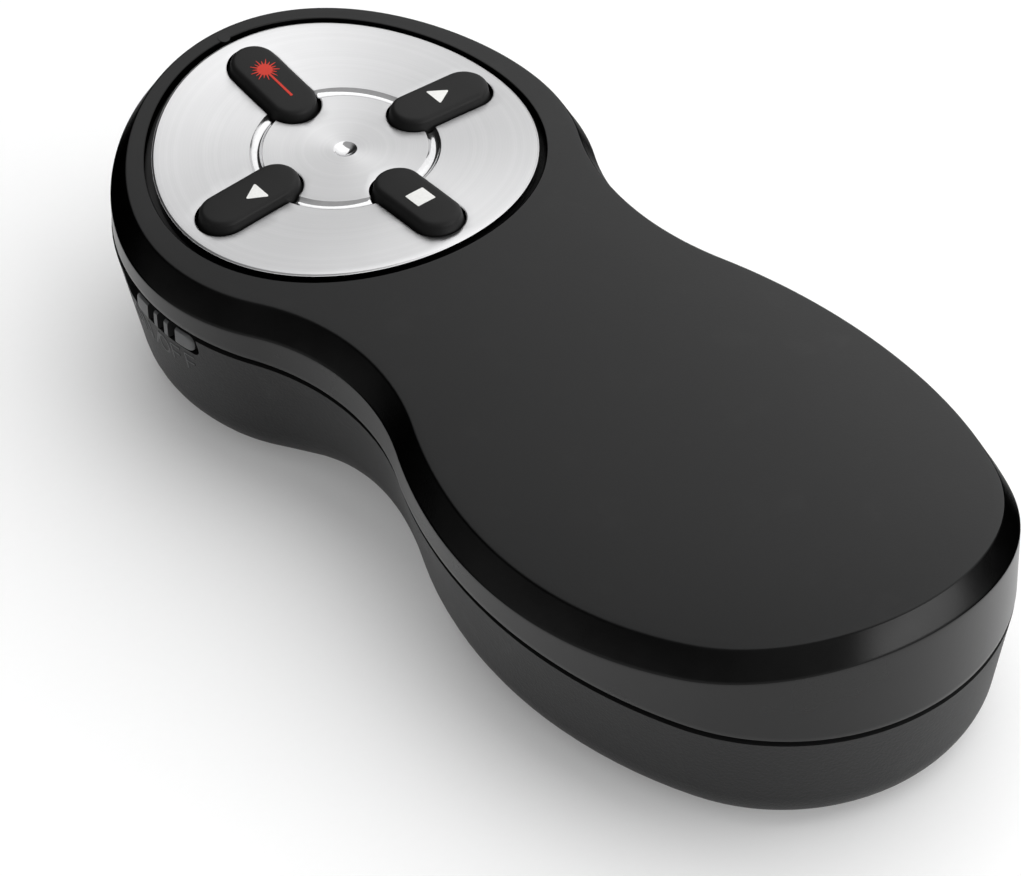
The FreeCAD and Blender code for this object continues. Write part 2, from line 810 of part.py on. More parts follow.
# ribs round the cells
bay_length = size.cell_length + size.spring_length
bay_front = size.bay_rear + bay_length
rib_low = floor_up
rib_height = size.rib_top - rib_low
rib_rear = size.bay_rear - size.contact_thickness - size.rib_thickness
rib_length = bay_length + size.contact_thickness * 2 + size.rib_thickness * 2
rib_x = size.rib_side
inner += [
    box("rib_right", rib_x, rib_rear, rib_low, size.rib_thickness, rib_length, rib_height),
    box("rib_left", -rib_x - size.rib_thickness, rib_rear, rib_low, size.rib_thickness, rib_length, rib_height),
    box("rib_back", -rib_x, rib_rear, rib_low, rib_x * 2, size.rib_thickness, rib_height + size.wall),
    box(
        "rib_ahead",
        -rib_x,
        bay_front + size.contact_thickness,
        rib_low,
        rib_x * 2,
        size.rib_thickness,
        rib_height + size.wall,
    ),
]
# dock for the receiver, open downwards
dock_gap = size.receiver_clearance
dock_rear = size.receiver_rear - dock_gap
dock_length = size.receiver_body_length + size.plug_length + dock_gap * 2
dock_width = size.receiver_width + dock_gap * 2
dock_top = size.receiver_base + size.receiver_height + dock_gap
inner.append(
    box(
        "dock_block",
        -(dock_width / 2) - size.bay_wall,
        dock_rear - size.bay_wall,
        floor_up,
        dock_width + size.bay_wall * 2,
        dock_length + size.bay_wall * 2,
        dock_top + size.bay_wall - floor_up,
    )
)
# two saddles that carry the laser barrel
saddle_high = size.laser_level - floor_up
inner += [
    box(
        "saddle_rear",
        -(size.saddle_width / 2),
        size.laser_start + size.saddle_length / 2,
        floor_up,
        size.saddle_width,
        size.saddle_length,
        saddle_high,
    ),
    box(
        "saddle_front",
        -(size.saddle_width / 2),
        size.laser_start + size.laser_length - size.saddle_length * 1.5,
        floor_up,
        size.saddle_width,
        size.saddle_length,
        saddle_high,
    ),
]
fittings = common("fittings", fuse("fittings_raw", inner), bowl_outer)
bowl_full = fuse("bowl_full", [bowl_shell, lip_ring, fittings])

openings = []
# screw holes with counterbores, from below
for side, station, name in (
    (size.screw_front_side, size.screw_front_station, "front"),
    (size.screw_rear_side, size.screw_rear_station, "rear"),
):
    openings += boss(name + "_bore", side, station, -deep, size.screw_seat, size.screw_bore)
    openings += boss(
        name + "_hole", side, station, zero, size.cap_height * 2, size.screw_radius + size.clearance / 4
    )
openings.append(
    box(
        "dock_space",
        -(dock_width / 2),
        dock_rear,
        -deep,
        dock_width,
        dock_length,
        dock_top + deep,
    )
)
# battery opening
door_middle = size.door_rear + size.door_length / 2


def draw_door(sketch, inset):
    draw_rounded(
        sketch,
        zero,
        door_middle,
        size.door_width - inset * 2,
        size.door_length - inset * 2,
        size.door_round - inset,
    )


door_hole = prism("door_hole", lambda sketch: draw_door(sketch, zero), -deep, size.rib_top)
openings.append(door_hole)
# laser barrel, its window and the recess of the window pane
front = Vector(1, 0, 0)
tip = size.head_centre + size.head_radius
laser_space = cylinder(
    "laser_space",
    zero,
    size.laser_start - size.clearance / 2,
    size.laser_level,
    size.laser_radius + size.clearance / 4,
    size.laser_length + size.clearance,
    front,
    -90,
)
pane_space = cylinder(
    "pane_space",
    zero,
    tip - deep / 2,
    size.laser_level,
    size.pane_radius,
    deep,
    front,
    -90,
)
openings += [laser_space, pane_space]


# window of the power switch in the left side wall, hanging from the seam
def draw_window(sketch, inset, length, station, tall):
    """A tab with two rounded lower corners; sketch x runs along the body, y upwards."""
    bend = (size.window_round - inset).value
    left = (station - length / 2 + inset).value
    right = (station + length / 2 - inset).value
    low = (window_low + inset).value
    high = (window_low + tall).value
    turn = math.pi / 2
    first = draw_arc(sketch, (left + bend, low + bend), bend, 2 * turn, 3 * turn)
    second = draw_arc(sketch, (right - bend, low + bend), bend, 3 * turn, 4 * turn)
    points = [
        (Vector(left + bend, low, 0), Vector(right - bend, low, 0)),
        (Vector(right, low + bend, 0), Vector(right, high, 0)),
        (Vector(right, high, 0), Vector(left, high, 0)),
        (Vector(left, high, 0), Vector(left, low + bend, 0)),
    ]
    base, side, top, back = [sketch.addGeometry(Part.LineSegment(*pair), False) for pair in points]
    fix(sketch, "Tangent", first, 2, base, 1)
    fix(sketch, "Tangent", base, 2, second, 1)
    fix(sketch, "Tangent", second, 2, side, 1)
    fix(sketch, "Coincident", side, 2, top, 1)
    fix(sketch, "Coincident", top, 2, back, 1)
    fix(sketch, "Tangent", back, 2, first, 1)
    fix(sketch, "Horizontal", base)
    fix(sketch, "Horizontal", top)
    fix(sketch, "Vertical", side)
    fix(sketch, "Vertical", back)
    fix(sketch, "Equal", first, second)
    fix(sketch, "Radius", first, size.window_round - inset)
    fix(sketch, "DistanceY", -1, 1, base, 1, window_low + inset)
    fix(sketch, "DistanceY", -1, 1, top, 1, window_low + tall)
    fix(sketch, "DistanceX", -1, 1, back, 1, station - length / 2 + inset)
    fix(sketch, "DistanceX", -1, 1, side, 1, station + length / 2 - inset)


seam_at_window = size.seam_height + size.window_centre * seam_slope
window_low = seam_at_window - size.seam_gap - size.window_height
window_space = prism(
    "window_space",
    lambda sketch: draw_window(
        sketch, zero, size.window_length, size.window_centre, size.window_height + size.overrun
    ),
    -(size.head_radius + size.overrun),
    size.overrun * 2 + size.seam_gap,
    "YZ_Plane",
)
openings.append(window_space)
bottom_shell = cut("bottom_shell", bowl_full, fuse("bowl_openings", openings))
doc.recompute()

# upper shell: hollow under a flat deck, seat for the disc, key holes, screw posts
core_block = outline_body(
    "core_block", size.wall, size.seam_height - size.overrun / 2, size.cap_height + size.overrun
)
above_deck = box(
    "above_deck",
    -size.crown_half_width,
    -(size.crown_half_width * 3),
    size.deck_underside,
    size.crown_half_width * 2,
    size.crown_half_width * 6,
    size.crown_top,
)
core = cut("core", core_block, above_deck)
cap_posts = []
for side, station, name in (
    (size.screw_front_side, size.screw_front_station, "front"),
    (size.screw_rear_side, size.screw_rear_station, "rear"),
):
    cap_posts += boss(name + "_post", side, station, size.boss_meet, size.crown_top / 2, size.boss_radius)
core_open = cut("core_open", core, fuse("cap_fittings", cap_posts))
seat_depth = size.disc_sink + size.disc_thickness + size.glue_line
seat = common(
    "seat",
    crown_below("crown_seat", seat_depth),
    cylinder(
        "seat_round",
        zero,
        size.disc_centre,
        size.deck_underside,
        size.disc_radius + size.disc_gap,
        size.crown_top / 2,
    ),
)


def key_prism(name, grow, low, high):
    """Slot-shaped body at the place of the right-hand key, before it is turned into place."""
    return prism(
        name,
        lambda sketch: draw_slot(
            sketch, size.key_orbit, size.key_length + grow * 2, size.key_width + grow * 2
        ),
        low,
        high - low,
    )


def quarter(name, source, turns):
    """A copy turned about the disc's axis."""
    item = shifted(name, source, y=size.disc_centre)
    item.Placement = Placement(item.Placement.Base, Rotation(Vector(0, 0, 1), 90 * turns))
    return item


KEYS = (("next", 0), ("laser", 1), ("previous", 2), ("stop", 3))
hole_prism = key_prism(
    "hole_prism", size.key_clearance, size.deck_underside - size.overrun / 4, size.crown_top / 2 + size.overrun
)
key_holes = group("key_holes", [quarter("hole_" + name, hole_prism, turns) for name, turns in KEYS])
light_hole = cylinder(
    "light_hole",
    zero,
    size.disc_centre + size.light_orbit,
    size.deck_underside - size.clearance,
    size.light_radius + size.clearance / 4,
    size.crown_top / 2,
)
pilot_top = size.screw_seat + size.screw_length + size.clearance
pilots = []
for side, station, name in (
    (size.screw_front_side, size.screw_front_station, "front"),
    (size.screw_rear_side, size.screw_rear_station, "rear"),
):
    pilots += boss(name + "_pilot", side, station, size.overrun, pilot_top, size.screw_radius + size.clearance / 4)
cap_hollow = cut("cap_hollow", cap, core_open)
top_shell = cut("top_shell", cap_hollow, fuse("cap_openings", [seat, key_holes, light_hole] + pilots))
doc.recompute()


nodes = {"top_shell": top_shell, "bottom_shell": bottom_shell}


# control disc: a slice between two crown surfaces
def disc_slice(name, radius, high, low):
    blank = cylinder(
        name + "_blank", zero, size.disc_centre, size.deck_underside, radius, size.crown_top / 2
    )
    upper = cut(name + "_upper", blank, crown_below(name + "_high", high))
    return common(name + "_slice", upper, crown_below(name + "_low", low))


disc_plate = disc_slice("disc", size.disc_radius, size.disc_sink, size.disc_sink + size.disc_thickness)
ring_tool = cut(
    "ring_tool",
    cylinder("ring_out", zero, size.disc_centre, zero, size.ring_outer, size.crown_top),
    cylinder("ring_in", zero, size.disc_centre, zero, size.ring_inner, size.crown_top),
)
ring_groove = common("ring_groove", ring_tool, crown_below("ring_floor", size.disc_sink + size.ring_depth))
dimple = doc.addObject("Part::Sphere", "dimple")
dimple.Radius = size.dimple_radius.value
bind(dimple, "Radius", size.dimple_radius)
locate(
    dimple,
    zero,
    size.disc_centre,
    size.disc_height - size.disc_sink + size.dimple_radius - size.dimple_depth,
)
nodes["control_disc"] = cut(
    "control_disc", disc_plate, fuse("disc_openings", [ring_groove, dimple, key_holes])
)

# keys: slot-shaped heads that lie parallel to the disc, on a neck with a skirt under the deck
key_low = size.deck_underside - size.key_slack - size.key_skirt_thickness
key_skirt = key_prism("key_skirt", size.key_skirt, key_low, key_low + size.key_skirt_thickness)
head_body = new_body("key_head")
head_sketch = new_sketch(head_body, "key_head_outline", "XY_Plane", -size.key_head)
draw_slot(head_sketch, zero, size.key_length, size.key_width)
head_pad = pad(head_body, head_sketch, size.key_head)
head_rounding = head_body.newObject("PartDesign::Chamfer", "key_head_rounding")
head_rounding.Base = (head_pad, floor_edges(head_pad.Shape, zero))
head_rounding.Size = size.key_round.value
bind(head_rounding, "Size", size.key_round)
doc.recompute()


def rise_at_key(station, height):
    """Lift and slope of the saddle at a key, on the parabola through the disc's centre and a station."""
    share = size.key_orbit / station
    return height * share * share, height * share * 2 / station


FRONT_RISE = rise_at_key(size.crown_station_b, size.crown_height_b)
REAR_RISE = rise_at_key(-size.crown_station_d, size.crown_height_d)
SIDE_RISE = rise_at_key(size.disc_radius, -(size.disc_radius * size.disc_radius / size.crown_radius_c / 2))
RISES = {"next": SIDE_RISE, "laser": FRONT_RISE, "previous": SIDE_RISE, "stop": REAR_RISE}

plunger_low = size.board_top + size.switch_height
plunger_foot = plunger_low - size.plunger_height / 2
plunger = cylinder(
    "plunger_blank", size.key_orbit, zero, plunger_foot, size.plunger_radius, key_low - plunger_foot
)
for name, turns in KEYS:
    lift, slope = RISES[name]
    lean = Size(math.degrees(math.atan(slope.value)), "atan(" + slope.text + ")")
    head = group("key_" + name + "_head", [head_body])
    locate(head, size.key_orbit, zero, size.disc_height + size.key_rise + lift, Vector(0, -1, 0), lean)
    neck = key_prism("key_" + name + "_neck", -size.key_neck, key_low, size.disc_height + lift)
    key_blank = fuse("key_" + name + "_blank", [head, neck, key_skirt])
    nodes["button_" + name] = quarter("key_" + name + "_placed", key_blank, turns)
    nodes["plunger_" + name] = quarter("plunger_" + name + "_placed", plunger, turns)

# tact switches: square housings with a well for the plunger and a metal cover rim
housing = cut(
    "switch_housing",
    box(
        "switch_block",
        size.key_orbit - size.switch_side / 2,
        -(size.switch_side / 2),
        size.board_top,
        size.switch_side,
        size.switch_side,
        size.switch_height,
    ),
    cylinder(
        "switch_well",
        size.key_orbit,
        zero,
        plunger_low - size.plunger_well,
        size.plunger_radius + size.clearance / 2,
        size.plunger_well * 2,
    ),
)
nodes["key_switches"] = group(
    "key_switches", [quarter("switch_" + name, housing, turns) for name, turns in KEYS]
)

# main board: a round board with clearance holes round the screw bosses and a flat by the slider
board_blank = cylinder(
    "board_blank", zero, size.disc_centre, board_low, size.board_radius, size.board_thickness
)
board_holes = boss(
    "board_hole",
    size.screw_front_side,
    size.screw_front_station,
    board_low - size.overrun,
    board_low + size.overrun,
    size.boss_radius + size.clearance,
)
nodes["main_board"] = cut("main_board", board_blank, fuse("board_holes", board_holes))
chip_x = size.controller_side / 2
nodes["controller_chip"] = box(
    "controller_chip",
    -chip_x,
    size.disc_centre - chip_x,
    size.board_top,
    size.controller_side,
    size.controller_side,
    size.chip_height,
)
radio_x = size.key_orbit / 2 + size.clearance
nodes["radio_chip"] = box(
    "radio_chip",
    radio_x,
    size.disc_centre + size.radio_side,
    size.board_top,
    size.radio_side,
    size.radio_side,
    size.chip_height,
)


def crystal_outline(sketch):
    draw_slot(sketch, zero, size.crystal_length, size.crystal_width)


crystal_can = prism("crystal_can", crystal_outline, size.board_top, size.chip_height * 1.5)
crystal = shifted(
    "crystal_placed",
    crystal_can,
    -(size.key_orbit / 2 + size.radio_side / 2),
    size.disc_centre - size.controller_side,
)
nodes["crystal"] = crystal

# status light: a small light on the board and a bent light guide up to the rim of the disc
nodes["status_led"] = box(
    "status_led",
    -(size.led_length / 2),
    size.led_centre - size.led_width / 2,
    size.board_top,
    size.led_length,
    size.led_width,
    size.led_height,
)
light_y = size.disc_centre + size.light_orbit
guide_column = cut(
    "guide_column",
    cylinder(
        "guide_rod", zero, light_y, size.light_foot_level, size.light_radius, size.crown_top / 2
    ),
    crown_below("guide_crown", size.disc_sink),
)
guide_foot = box(
    "guide_foot",
    -size.light_radius,
    size.led_centre - size.led_width / 2,
    size.light_foot_level,
    size.light_radius * 2,
    light_y - size.led_centre + size.led_width / 2,
    size.light_foot_height,
)
nodes["light_guide"] = fuse("light_guide", [guide_column, guide_foot])

# power switch knob: ridged face that follows the head, a plate behind the wall, a lever in a slider
knob_station = size.window_centre - (size.window_length - size.knob_length) / 2 + size.clearance / 2
knob_low = window_low + (size.window_height - size.knob_height) / 2
knob_face = cylinder(
    "knob_round",
    zero,
    size.head_centre,
    knob_low,
    size.head_radius - size.knob_sink,
    size.knob_height,
)


def knob_outline(sketch):
    draw_window(sketch, size.clearance / 2, size.knob_length + size.clearance, knob_station, size.knob_height)


knob_tab = prism(
    "knob_tab",
    knob_outline,
    -(size.head_radius + size.overrun),
    size.head_radius + size.overrun - size.knob_plate_face,
    "YZ_Plane",
)
grooves = []
for place, word in ((-1, "rear"), (0, "middle"), (1, "front")):
    groove = cut(
        "knob_groove_" + word,
        box(
            "knob_slot_" + word,
            -(size.head_radius + size.overrun),
            knob_station + size.knob_pitch * place - size.knob_groove / 2,
            zero,
            size.overrun * 2,
            size.knob_groove,
            size.crown_top,
        ),
        cylinder(
            "knob_core_" + word,
            zero,
            size.head_centre,
            zero,
            size.head_radius - size.knob_sink - size.knob_groove_depth,
            size.crown_top,
        ),
    )
    grooves.append(groove)
lever_level = size.board_top + size.slider_height / 2
lever = box(
    "switch_lever",
    -size.knob_plate_face + size.clearance / 2,
    knob_station - size.lever_side / 2,
    lever_level - size.lever_side / 2,
    size.lever_reach,
    size.lever_side,
    size.lever_side,
)
nodes["switch_lever"] = lever
plate_high = size.seam_height + size.window_centre * seam_slope - size.seam_gap * 1.5
plate = box(
    "knob_plate",
    -size.knob_plate_face,
    knob_station - size.knob_plate_length / 2,
    knob_low - size.clearance * 2,
    size.knob_plate_thickness,
    size.knob_plate_length,
    plate_high - knob_low + size.clearance * 2,
)
knob_front = cut("knob_front", common("knob_shell", knob_face, knob_tab), fuse("knob_grooves", grooves))
nodes["switch_knob"] = cut("switch_knob", fuse("knob_solid", [knob_front, plate]), lever)
slider_x = -size.knob_plate_face + size.knob_plate_thickness + size.clearance * 3
slider_block = box(
    "slider_block",
    slider_x,
    knob_station + size.knob_travel / 2 - size.slider_length / 2,
    size.board_top,
    size.slider_width,
    size.slider_length,
    size.slider_height,
)
slider_slot = box(
    "slider_slot",
    slider_x - size.clearance,
    knob_station - size.lever_side / 2 - size.clearance / 2,
    lever_level - size.lever_side / 2 - size.clearance / 2,
    size.slider_width / 2 + size.clearance,
    size.knob_travel + size.lever_side + size.clearance,
    size.lever_side + size.clearance,
)
nodes["slide_switch"] = cut("slide_switch", slider_block, slider_slot)

# laser module: turned barrel with a stepped bore, a lens and a pane in the nose
barrel_body = new_body("laser_barrel")
profile = new_sketch(barrel_body, "barrel_profile", "YZ_Plane")


def barrel_outline(sketch):
    """Half section of the barrel; sketch x runs along the body, y away from the axis."""
    start = size.laser_start
    end = size.laser_start + size.laser_length
    step = size.laser_start + size.laser_length - size.lens_thickness * 2
    neck = size.laser_start + size.laser_length / 4
    low = size.laser_level + size.laser_bore / 2
    wide = size.laser_level + size.laser_bore
    rim = size.laser_level + size.laser_radius - size.clearance * 2
    outer = size.laser_level + size.laser_radius
    corners = [
        (start, low),
        (start, rim),
        (neck, rim),
        (neck, outer),
        (end, outer),
        (end, wide),
        (step, wide),
        (step, low),
    ]
    points = [Vector(x.value, y.value, 0) for x, y in corners]
    lines = []
    for first, second in zip(points, points[1:] + points[:1]):
        lines.append(sketch.addGeometry(Part.LineSegment(first, second), False))
    for first, second in zip(lines, lines[1:] + lines[:1]):
        fix(sketch, "Coincident", first, 2, second, 1)
    for line, (x, y) in zip(lines, corners):
        fix(sketch, "DistanceX", -1, 1, line, 1, x)
        fix(sketch, "DistanceY", -1, 1, line, 1, y)
    axis = sketch.addGeometry(
        Part.LineSegment(
            Vector(start.value, size.laser_level.value, 0), Vector(end.value, size.laser_level.value, 0)
        ),
        True,
    )
    fix(sketch, "Horizontal", axis)
    fix(sketch, "DistanceX", -1, 1, axis, 1, start)
    fix(sketch, "DistanceX", -1, 1, axis, 2, end)
    fix(sketch, "DistanceY", -1, 1, axis, 1, size.laser_level)


barrel_outline(profile)
turning = barrel_body.newObject("PartDesign::Revolution", "barrel_turning")
turning.Profile = profile
turning.ReferenceAxis = (profile, ["Axis0"])
turning.Angle = 360
doc.recompute()
nodes["laser_barrel"] = barrel_body
lens_y = size.laser_start + size.laser_length - size.lens_thickness * 2
lens_disc = cylinder(
    "lens_disc", zero, lens_y, size.laser_level, size.laser_bore, size.lens_thickness, front, -90
)
lens_ball = doc.addObject("Part::Sphere", "lens_ball")
lens_ball.Radius = (size.laser_bore * 2).value
bind(lens_ball, "Radius", size.laser_bore * 2)
locate(lens_ball, zero, lens_y + size.lens_thickness - size.laser_bore * 2, size.laser_level)
nodes["laser_lens"] = common("laser_lens", lens_disc, lens_ball)
pane_rod = cylinder(
    "pane_rod",
    zero,
    size.laser_start + size.laser_length + size.clearance,
    size.laser_level,
    size.pane_radius,
    deep,
    front,
    -90,
)
nodes["laser_window"] = common("laser_window", pane_rod, bowl_outer)

# housing screws: pan heads with a cross recess
screw_rod = cylinder(
    "screw_rod", zero, zero, size.screw_seat, size.screw_radius, size.screw_length
)
screw_head = cylinder(
    "screw_head",
    zero,
    zero,
    size.screw_seat - size.screw_head_height,
    size.screw_head_radius,
    size.screw_head_height,
)
cross = []
for name, across, along in (("long", 1, 0), ("wide", 0, 1)):
    length = size.screw_slot + (size.screw_head_radius * 2 - size.screw_slot * 3) * across
    width = size.screw_slot + (size.screw_head_radius * 2 - size.screw_slot * 3) * along
    cross.append(
        box(
            "cross_" + name,
            -(length / 2),
            -(width / 2),
            size.screw_seat - size.screw_head_height - size.screw_slot,
            length,
            width,
            size.screw_slot * 2,
        )
    )
screw = cut("screw", fuse("screw_solid", [screw_rod, screw_head]), fuse("screw_cross", cross))
nodes["housing_screws"] = group(
    "housing_screws",
    [
        shifted("screw_a", screw, size.screw_front_side, size.screw_front_station),
        shifted("screw_b", screw, -size.screw_front_side, size.screw_front_station),
        shifted("screw_c", screw, size.screw_rear_side, size.screw_rear_station),
        shifted("screw_d", screw, -size.screw_rear_side, size.screw_rear_station),
    ],
)


# cells: can, insulating shoulder and contact cap, head to tail
def make_cell(name, side, tail, sign):
    can_length = size.cell_length - size.cell_nub_length
    turn = -90 * sign
    can = cylinder(
        name + "_can", side, tail, size.cell_level, size.cell_radius, can_length, front, turn
    )
    nub_start = tail + can_length * sign
    nub = cylinder(
        name + "_nub", side, nub_start, size.cell_level, size.cell_nub_radius, size.cell_nub_length, front, turn
    )
    return fuse(name, [can, nub])


left_tail = size.bay_rear + size.spring_length
right_tail = size.bay_rear + size.cell_length
nodes["cell_left"] = make_cell("cell_left", -size.cell_side, left_tail, 1)
nodes["cell_right"] = make_cell("cell_right", size.cell_side, right_tail, -1)
contact_low = size.cell_level - size.contact_height / 2
nodes["rear_contact"] = box(
    "rear_contact",
    -(size.contact_width + size.clearance),
    size.bay_rear - size.contact_thickness,
    contact_low,
    size.contact_width * 2 + size.clearance * 2,
    size.contact_thickness,
    size.contact_height,
)
nodes["front_contacts"] = group(
    "front_contacts",
    [
        box(
            "front_contact_" + word,
            size.cell_side * sign - size.contact_width / 2,
            bay_front,
            contact_low,
            size.contact_width,
            size.contact_thickness,
            size.contact_height,
        )
        for word, sign in (("right", 1), ("left", -1))
    ],
)


# contact springs: strips bent to half rings, standing on the contacts and bearing on the cells
def make_spring(name, side, start, sign):
    outer = size.spring_length - size.spring_strip / 2
    inner = outer - size.spring_strip
    low = size.cell_level - size.spring_width / 2
    ring = cut(
        name + "_ring",
        cylinder(name + "_outside", side, start, low, outer, size.spring_width),
        cylinder(name + "_inside", side, start, low, inner, size.spring_width),
    )
    half = box(
        name + "_half",
        side - size.spring_length,
        start - size.spring_length * (1 - sign) / 2,
        low,
        size.spring_length * 2,
        size.spring_length,
        size.spring_width,
    )
    return common(name, ring, half)


nodes["contact_springs"] = group(
    "contact_springs",
    [
        make_spring("spring_rear", -size.cell_side, size.bay_rear, 1),
        make_spring("spring_front", size.cell_side, bay_front, -1),
    ],
)

# battery door: the piece of the bowl inside the opening, with grip grooves
door_block = prism("door_block", lambda sketch: draw_door(sketch, size.clearance), -deep, size.rib_top)
door_panel = common("door_panel", common("door_skin", door_block, bowl_outer), bowl_shell)
grip = []
for place, word in ((-1, "rear"), (0, "middle"), (1, "front")):
    station = size.door_grip_station + size.door_grip_pitch * place
    grip.append(
        box(
            "door_grip_" + word,
            -(size.door_grip_width / 2),
            station - size.door_grip_groove / 2,
            -deep,
            size.door_grip_width,
            size.door_grip_groove,
            deep + size.door_grip_depth + size.arch_height / 2,
        )
    )
nodes["battery_door"] = cut("battery_door", door_panel, fuse("door_grips", grip))

# receiver: a short housing and a plug of folded metal round a tongue
receiver_y = size.receiver_rear
housing_low = size.receiver_base


def receiver_outline(sketch):
    draw_rounded(
        sketch,
        zero,
        housing_low + size.receiver_height / 2,
        size.receiver_width,
        size.receiver_height,
        size.receiver_round,
    )


receiver_body = prism(
    "receiver_body",
    receiver_outline,
    -(receiver_y + size.receiver_body_length),
    size.receiver_body_length,
    "XZ_Plane",
)
nodes["receiver_housing"] = receiver_body
plug_level = housing_low + size.receiver_height / 2
plug_start = receiver_y + size.receiver_body_length
plug_outer = box(
    "plug_outer",
    -(size.plug_width / 2),
    plug_start,
    plug_level - size.plug_height / 2,
    size.plug_width,
    size.plug_length,
    size.plug_height,
)
plug_inner = box(
    "plug_inner",
    -(size.plug_width / 2) + size.plug_wall,
    plug_start - size.clearance,
    plug_level - size.plug_height / 2 + size.plug_wall,
    size.plug_width - size.plug_wall * 2,
    size.plug_length + size.clearance * 2,
    size.plug_height - size.plug_wall * 2,
)
plug_windows = [
    box(
        "plug_window_" + word,
        size.plug_width / 5 * sign - size.plug_window / 2,
        plug_start + size.plug_length / 2,
        plug_level - size.plug_height,
        size.plug_window,
        size.plug_window,
        size.plug_height * 2,
    )
    for word, sign in (("right", 1), ("left", -1))
]
nodes["receiver_plug"] = cut("receiver_plug", plug_outer, fuse("plug_openings", [plug_inner] + plug_windows))
nodes["receiver_tongue"] = box(
    "receiver_tongue",
    -(size.plug_width / 2) + size.plug_wall,
    plug_start,
    plug_level + size.plug_height / 2 - size.plug_wall - size.tongue_height,
    size.plug_width - size.plug_wall * 2,
    size.plug_length - size.clearance,
    size.tongue_height,
)
doc.recompute()

problems = []
for item in doc.Objects:
    if "Invalid" in item.State or "Error" in item.State:
        problems.append(item.Name + " is not computed")
for name, item in nodes.items():
    item.Label = name
    shape = item.Shape
    if shape.isNull() or not shape.isValid() or not shape.Solids:
        problems.append(name + " has no valid solid")
    for solid in shape.Solids:
        if solid.Volume <= 0:
            problems.append(name + " has an empty solid")
if problems:
    raise SystemExit("; ".join(problems))
for name, item in nodes.items():
    item.Shape.exportStep("parts/" + name + ".step")
    print(name, len(item.Shape.Solids), round(item.Shape.Volume, 1))
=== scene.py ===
import math

import bpy
from mathutils import Matrix, Vector
from mathutils.bvhtree import BVHTree
from mathutils.geometry import delaunay_2d_cdt


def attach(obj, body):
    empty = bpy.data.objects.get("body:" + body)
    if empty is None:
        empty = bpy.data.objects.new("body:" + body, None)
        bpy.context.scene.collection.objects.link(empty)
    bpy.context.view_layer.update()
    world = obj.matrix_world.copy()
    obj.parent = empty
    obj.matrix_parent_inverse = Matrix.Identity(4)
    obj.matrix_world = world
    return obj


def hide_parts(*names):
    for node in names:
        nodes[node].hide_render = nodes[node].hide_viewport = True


# Looks of a hand-held wireless presenter. Lengths are in millimetres, and become metres in each mesh.
# +Z is up, +Y is towards the wide front end, +X is to the right.

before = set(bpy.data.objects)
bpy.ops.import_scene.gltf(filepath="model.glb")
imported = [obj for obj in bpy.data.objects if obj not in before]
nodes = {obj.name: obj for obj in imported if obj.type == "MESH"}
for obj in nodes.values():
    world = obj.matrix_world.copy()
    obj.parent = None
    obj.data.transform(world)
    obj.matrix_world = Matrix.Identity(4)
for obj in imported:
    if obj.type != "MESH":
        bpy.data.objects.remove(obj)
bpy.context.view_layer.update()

MM = 0.001

# body outline, seen from above
HEAD_RADIUS = 22.75
HEAD_CENTRE = 29.8
TAIL_RADIUS = 20.6
TAIL_CENTRE = -31.95
WAIST_RADIUS = 23.55
FLANK_RADIUS = 47.0
TAIL_HALF_WIDTH = 23.165

# seam between the shells, and the upper shell above it
SEAM_HEIGHT = 14.07
SEAM_TILT = math.radians(1.72)
WALL = 1.8
RIM_INSET = 1.52
RIM_DROP = 2.66
RIM_CURVES = (1.1, 0.3)
RIM_STEPS = 7
RIM_FLAT = 0.9
DECK_UNDERSIDE = 18.2
# rows of points below the black band, over the edge along the seam, and above the band
BAND_START = 5
BAND_END = 5
# edge along the seam: inset, rise over the seam
SEAM_EDGE = ((0.3, 0.18), (0.14, 0.19), (0.04, 0.23), (0.0, 0.32), (0.0, 0.75))

# the top face, from rear to front: station from the disc's centre, height over it, crosswise radius
DISC_CENTRE = 30.9
DISC_HEIGHT = 21.4
CROWN = (
    (-86.0, 3.4, 95.0),
    (-72.0, 1.65, 95.0),
    (-58.0, 0.75, 95.0),
    (-42.0, 0.5, 95.0),
    (-26.0, 0.65, 95.0),
    (-13.5, 0.65, 115.0),
    (0.0, 0.0, 180.0),
    (13.5, 0.9, 175.0),
    (27.0, 3.5, 170.0),
)

# disc in its seat
DISC_RADIUS = 18.0
DISC_GAP = 0.68
DISC_RISE = 0.15
DISC_THICKNESS = 1.05
DISC_EDGE = 0.2
DISC_EDGE_DROP = 0.12
SEAT_RADIUS = DISC_RADIUS + DISC_GAP
SEAT_DEPTH = 1.0
SEAT_SOFT = 0.12
# lip of the seat: growth over its radius, drop
SEAT_LIP = ((0.04, 0.03), (0.0, SEAT_SOFT), (0.0, SEAT_DEPTH))
RING_OUTER = 8.9
RING_INNER = 7.75
RING_DEPTH = 0.4
DIMPLE_RADIUS = 1.1
DIMPLE_DEPTH = 0.5
HOLLOW_EDGE = 0.04

# keys
KEY_ORBIT = 11.07
KEY_LENGTH = 10.6
KEY_WIDTH = 4.7
KEY_REACH = (KEY_LENGTH - KEY_WIDTH) / 2
KEY_RISE = 1.2
KEY_LEAN_STEP = 0.5
KEY_CROWN = 0.1
KEY_GAP = 0.36
KEY_HOLE_EDGE = 0.1
KEY_HOLE_DROP = 0.04
# name, quarter turns about the disc's centre
KEYS = (("next", 0), ("laser", 1), ("previous", 2), ("stop", 3))
# flared foot and shoulder of a key: inset, level under its top
KEY_FLARE = ((-0.16, -2.1), (-0.16, -1.5), (-0.12, -1.3), (-0.06, -1.15))
KEY_SHOULDER = ((-0.02, -1.05), (0.14, 0.0), (0.9, 0.0))
KEY_SHOULDER_RADIUS = 0.5
KEY_SHOULDER_STEPS = 8
KEY_TOP_INSETS = (0.8, 1.2, 1.7, 2.1, KEY_WIDTH / 2 - 0.02)
# key points higher than this follow the crown of the top
KEY_CROWN_START = -0.6

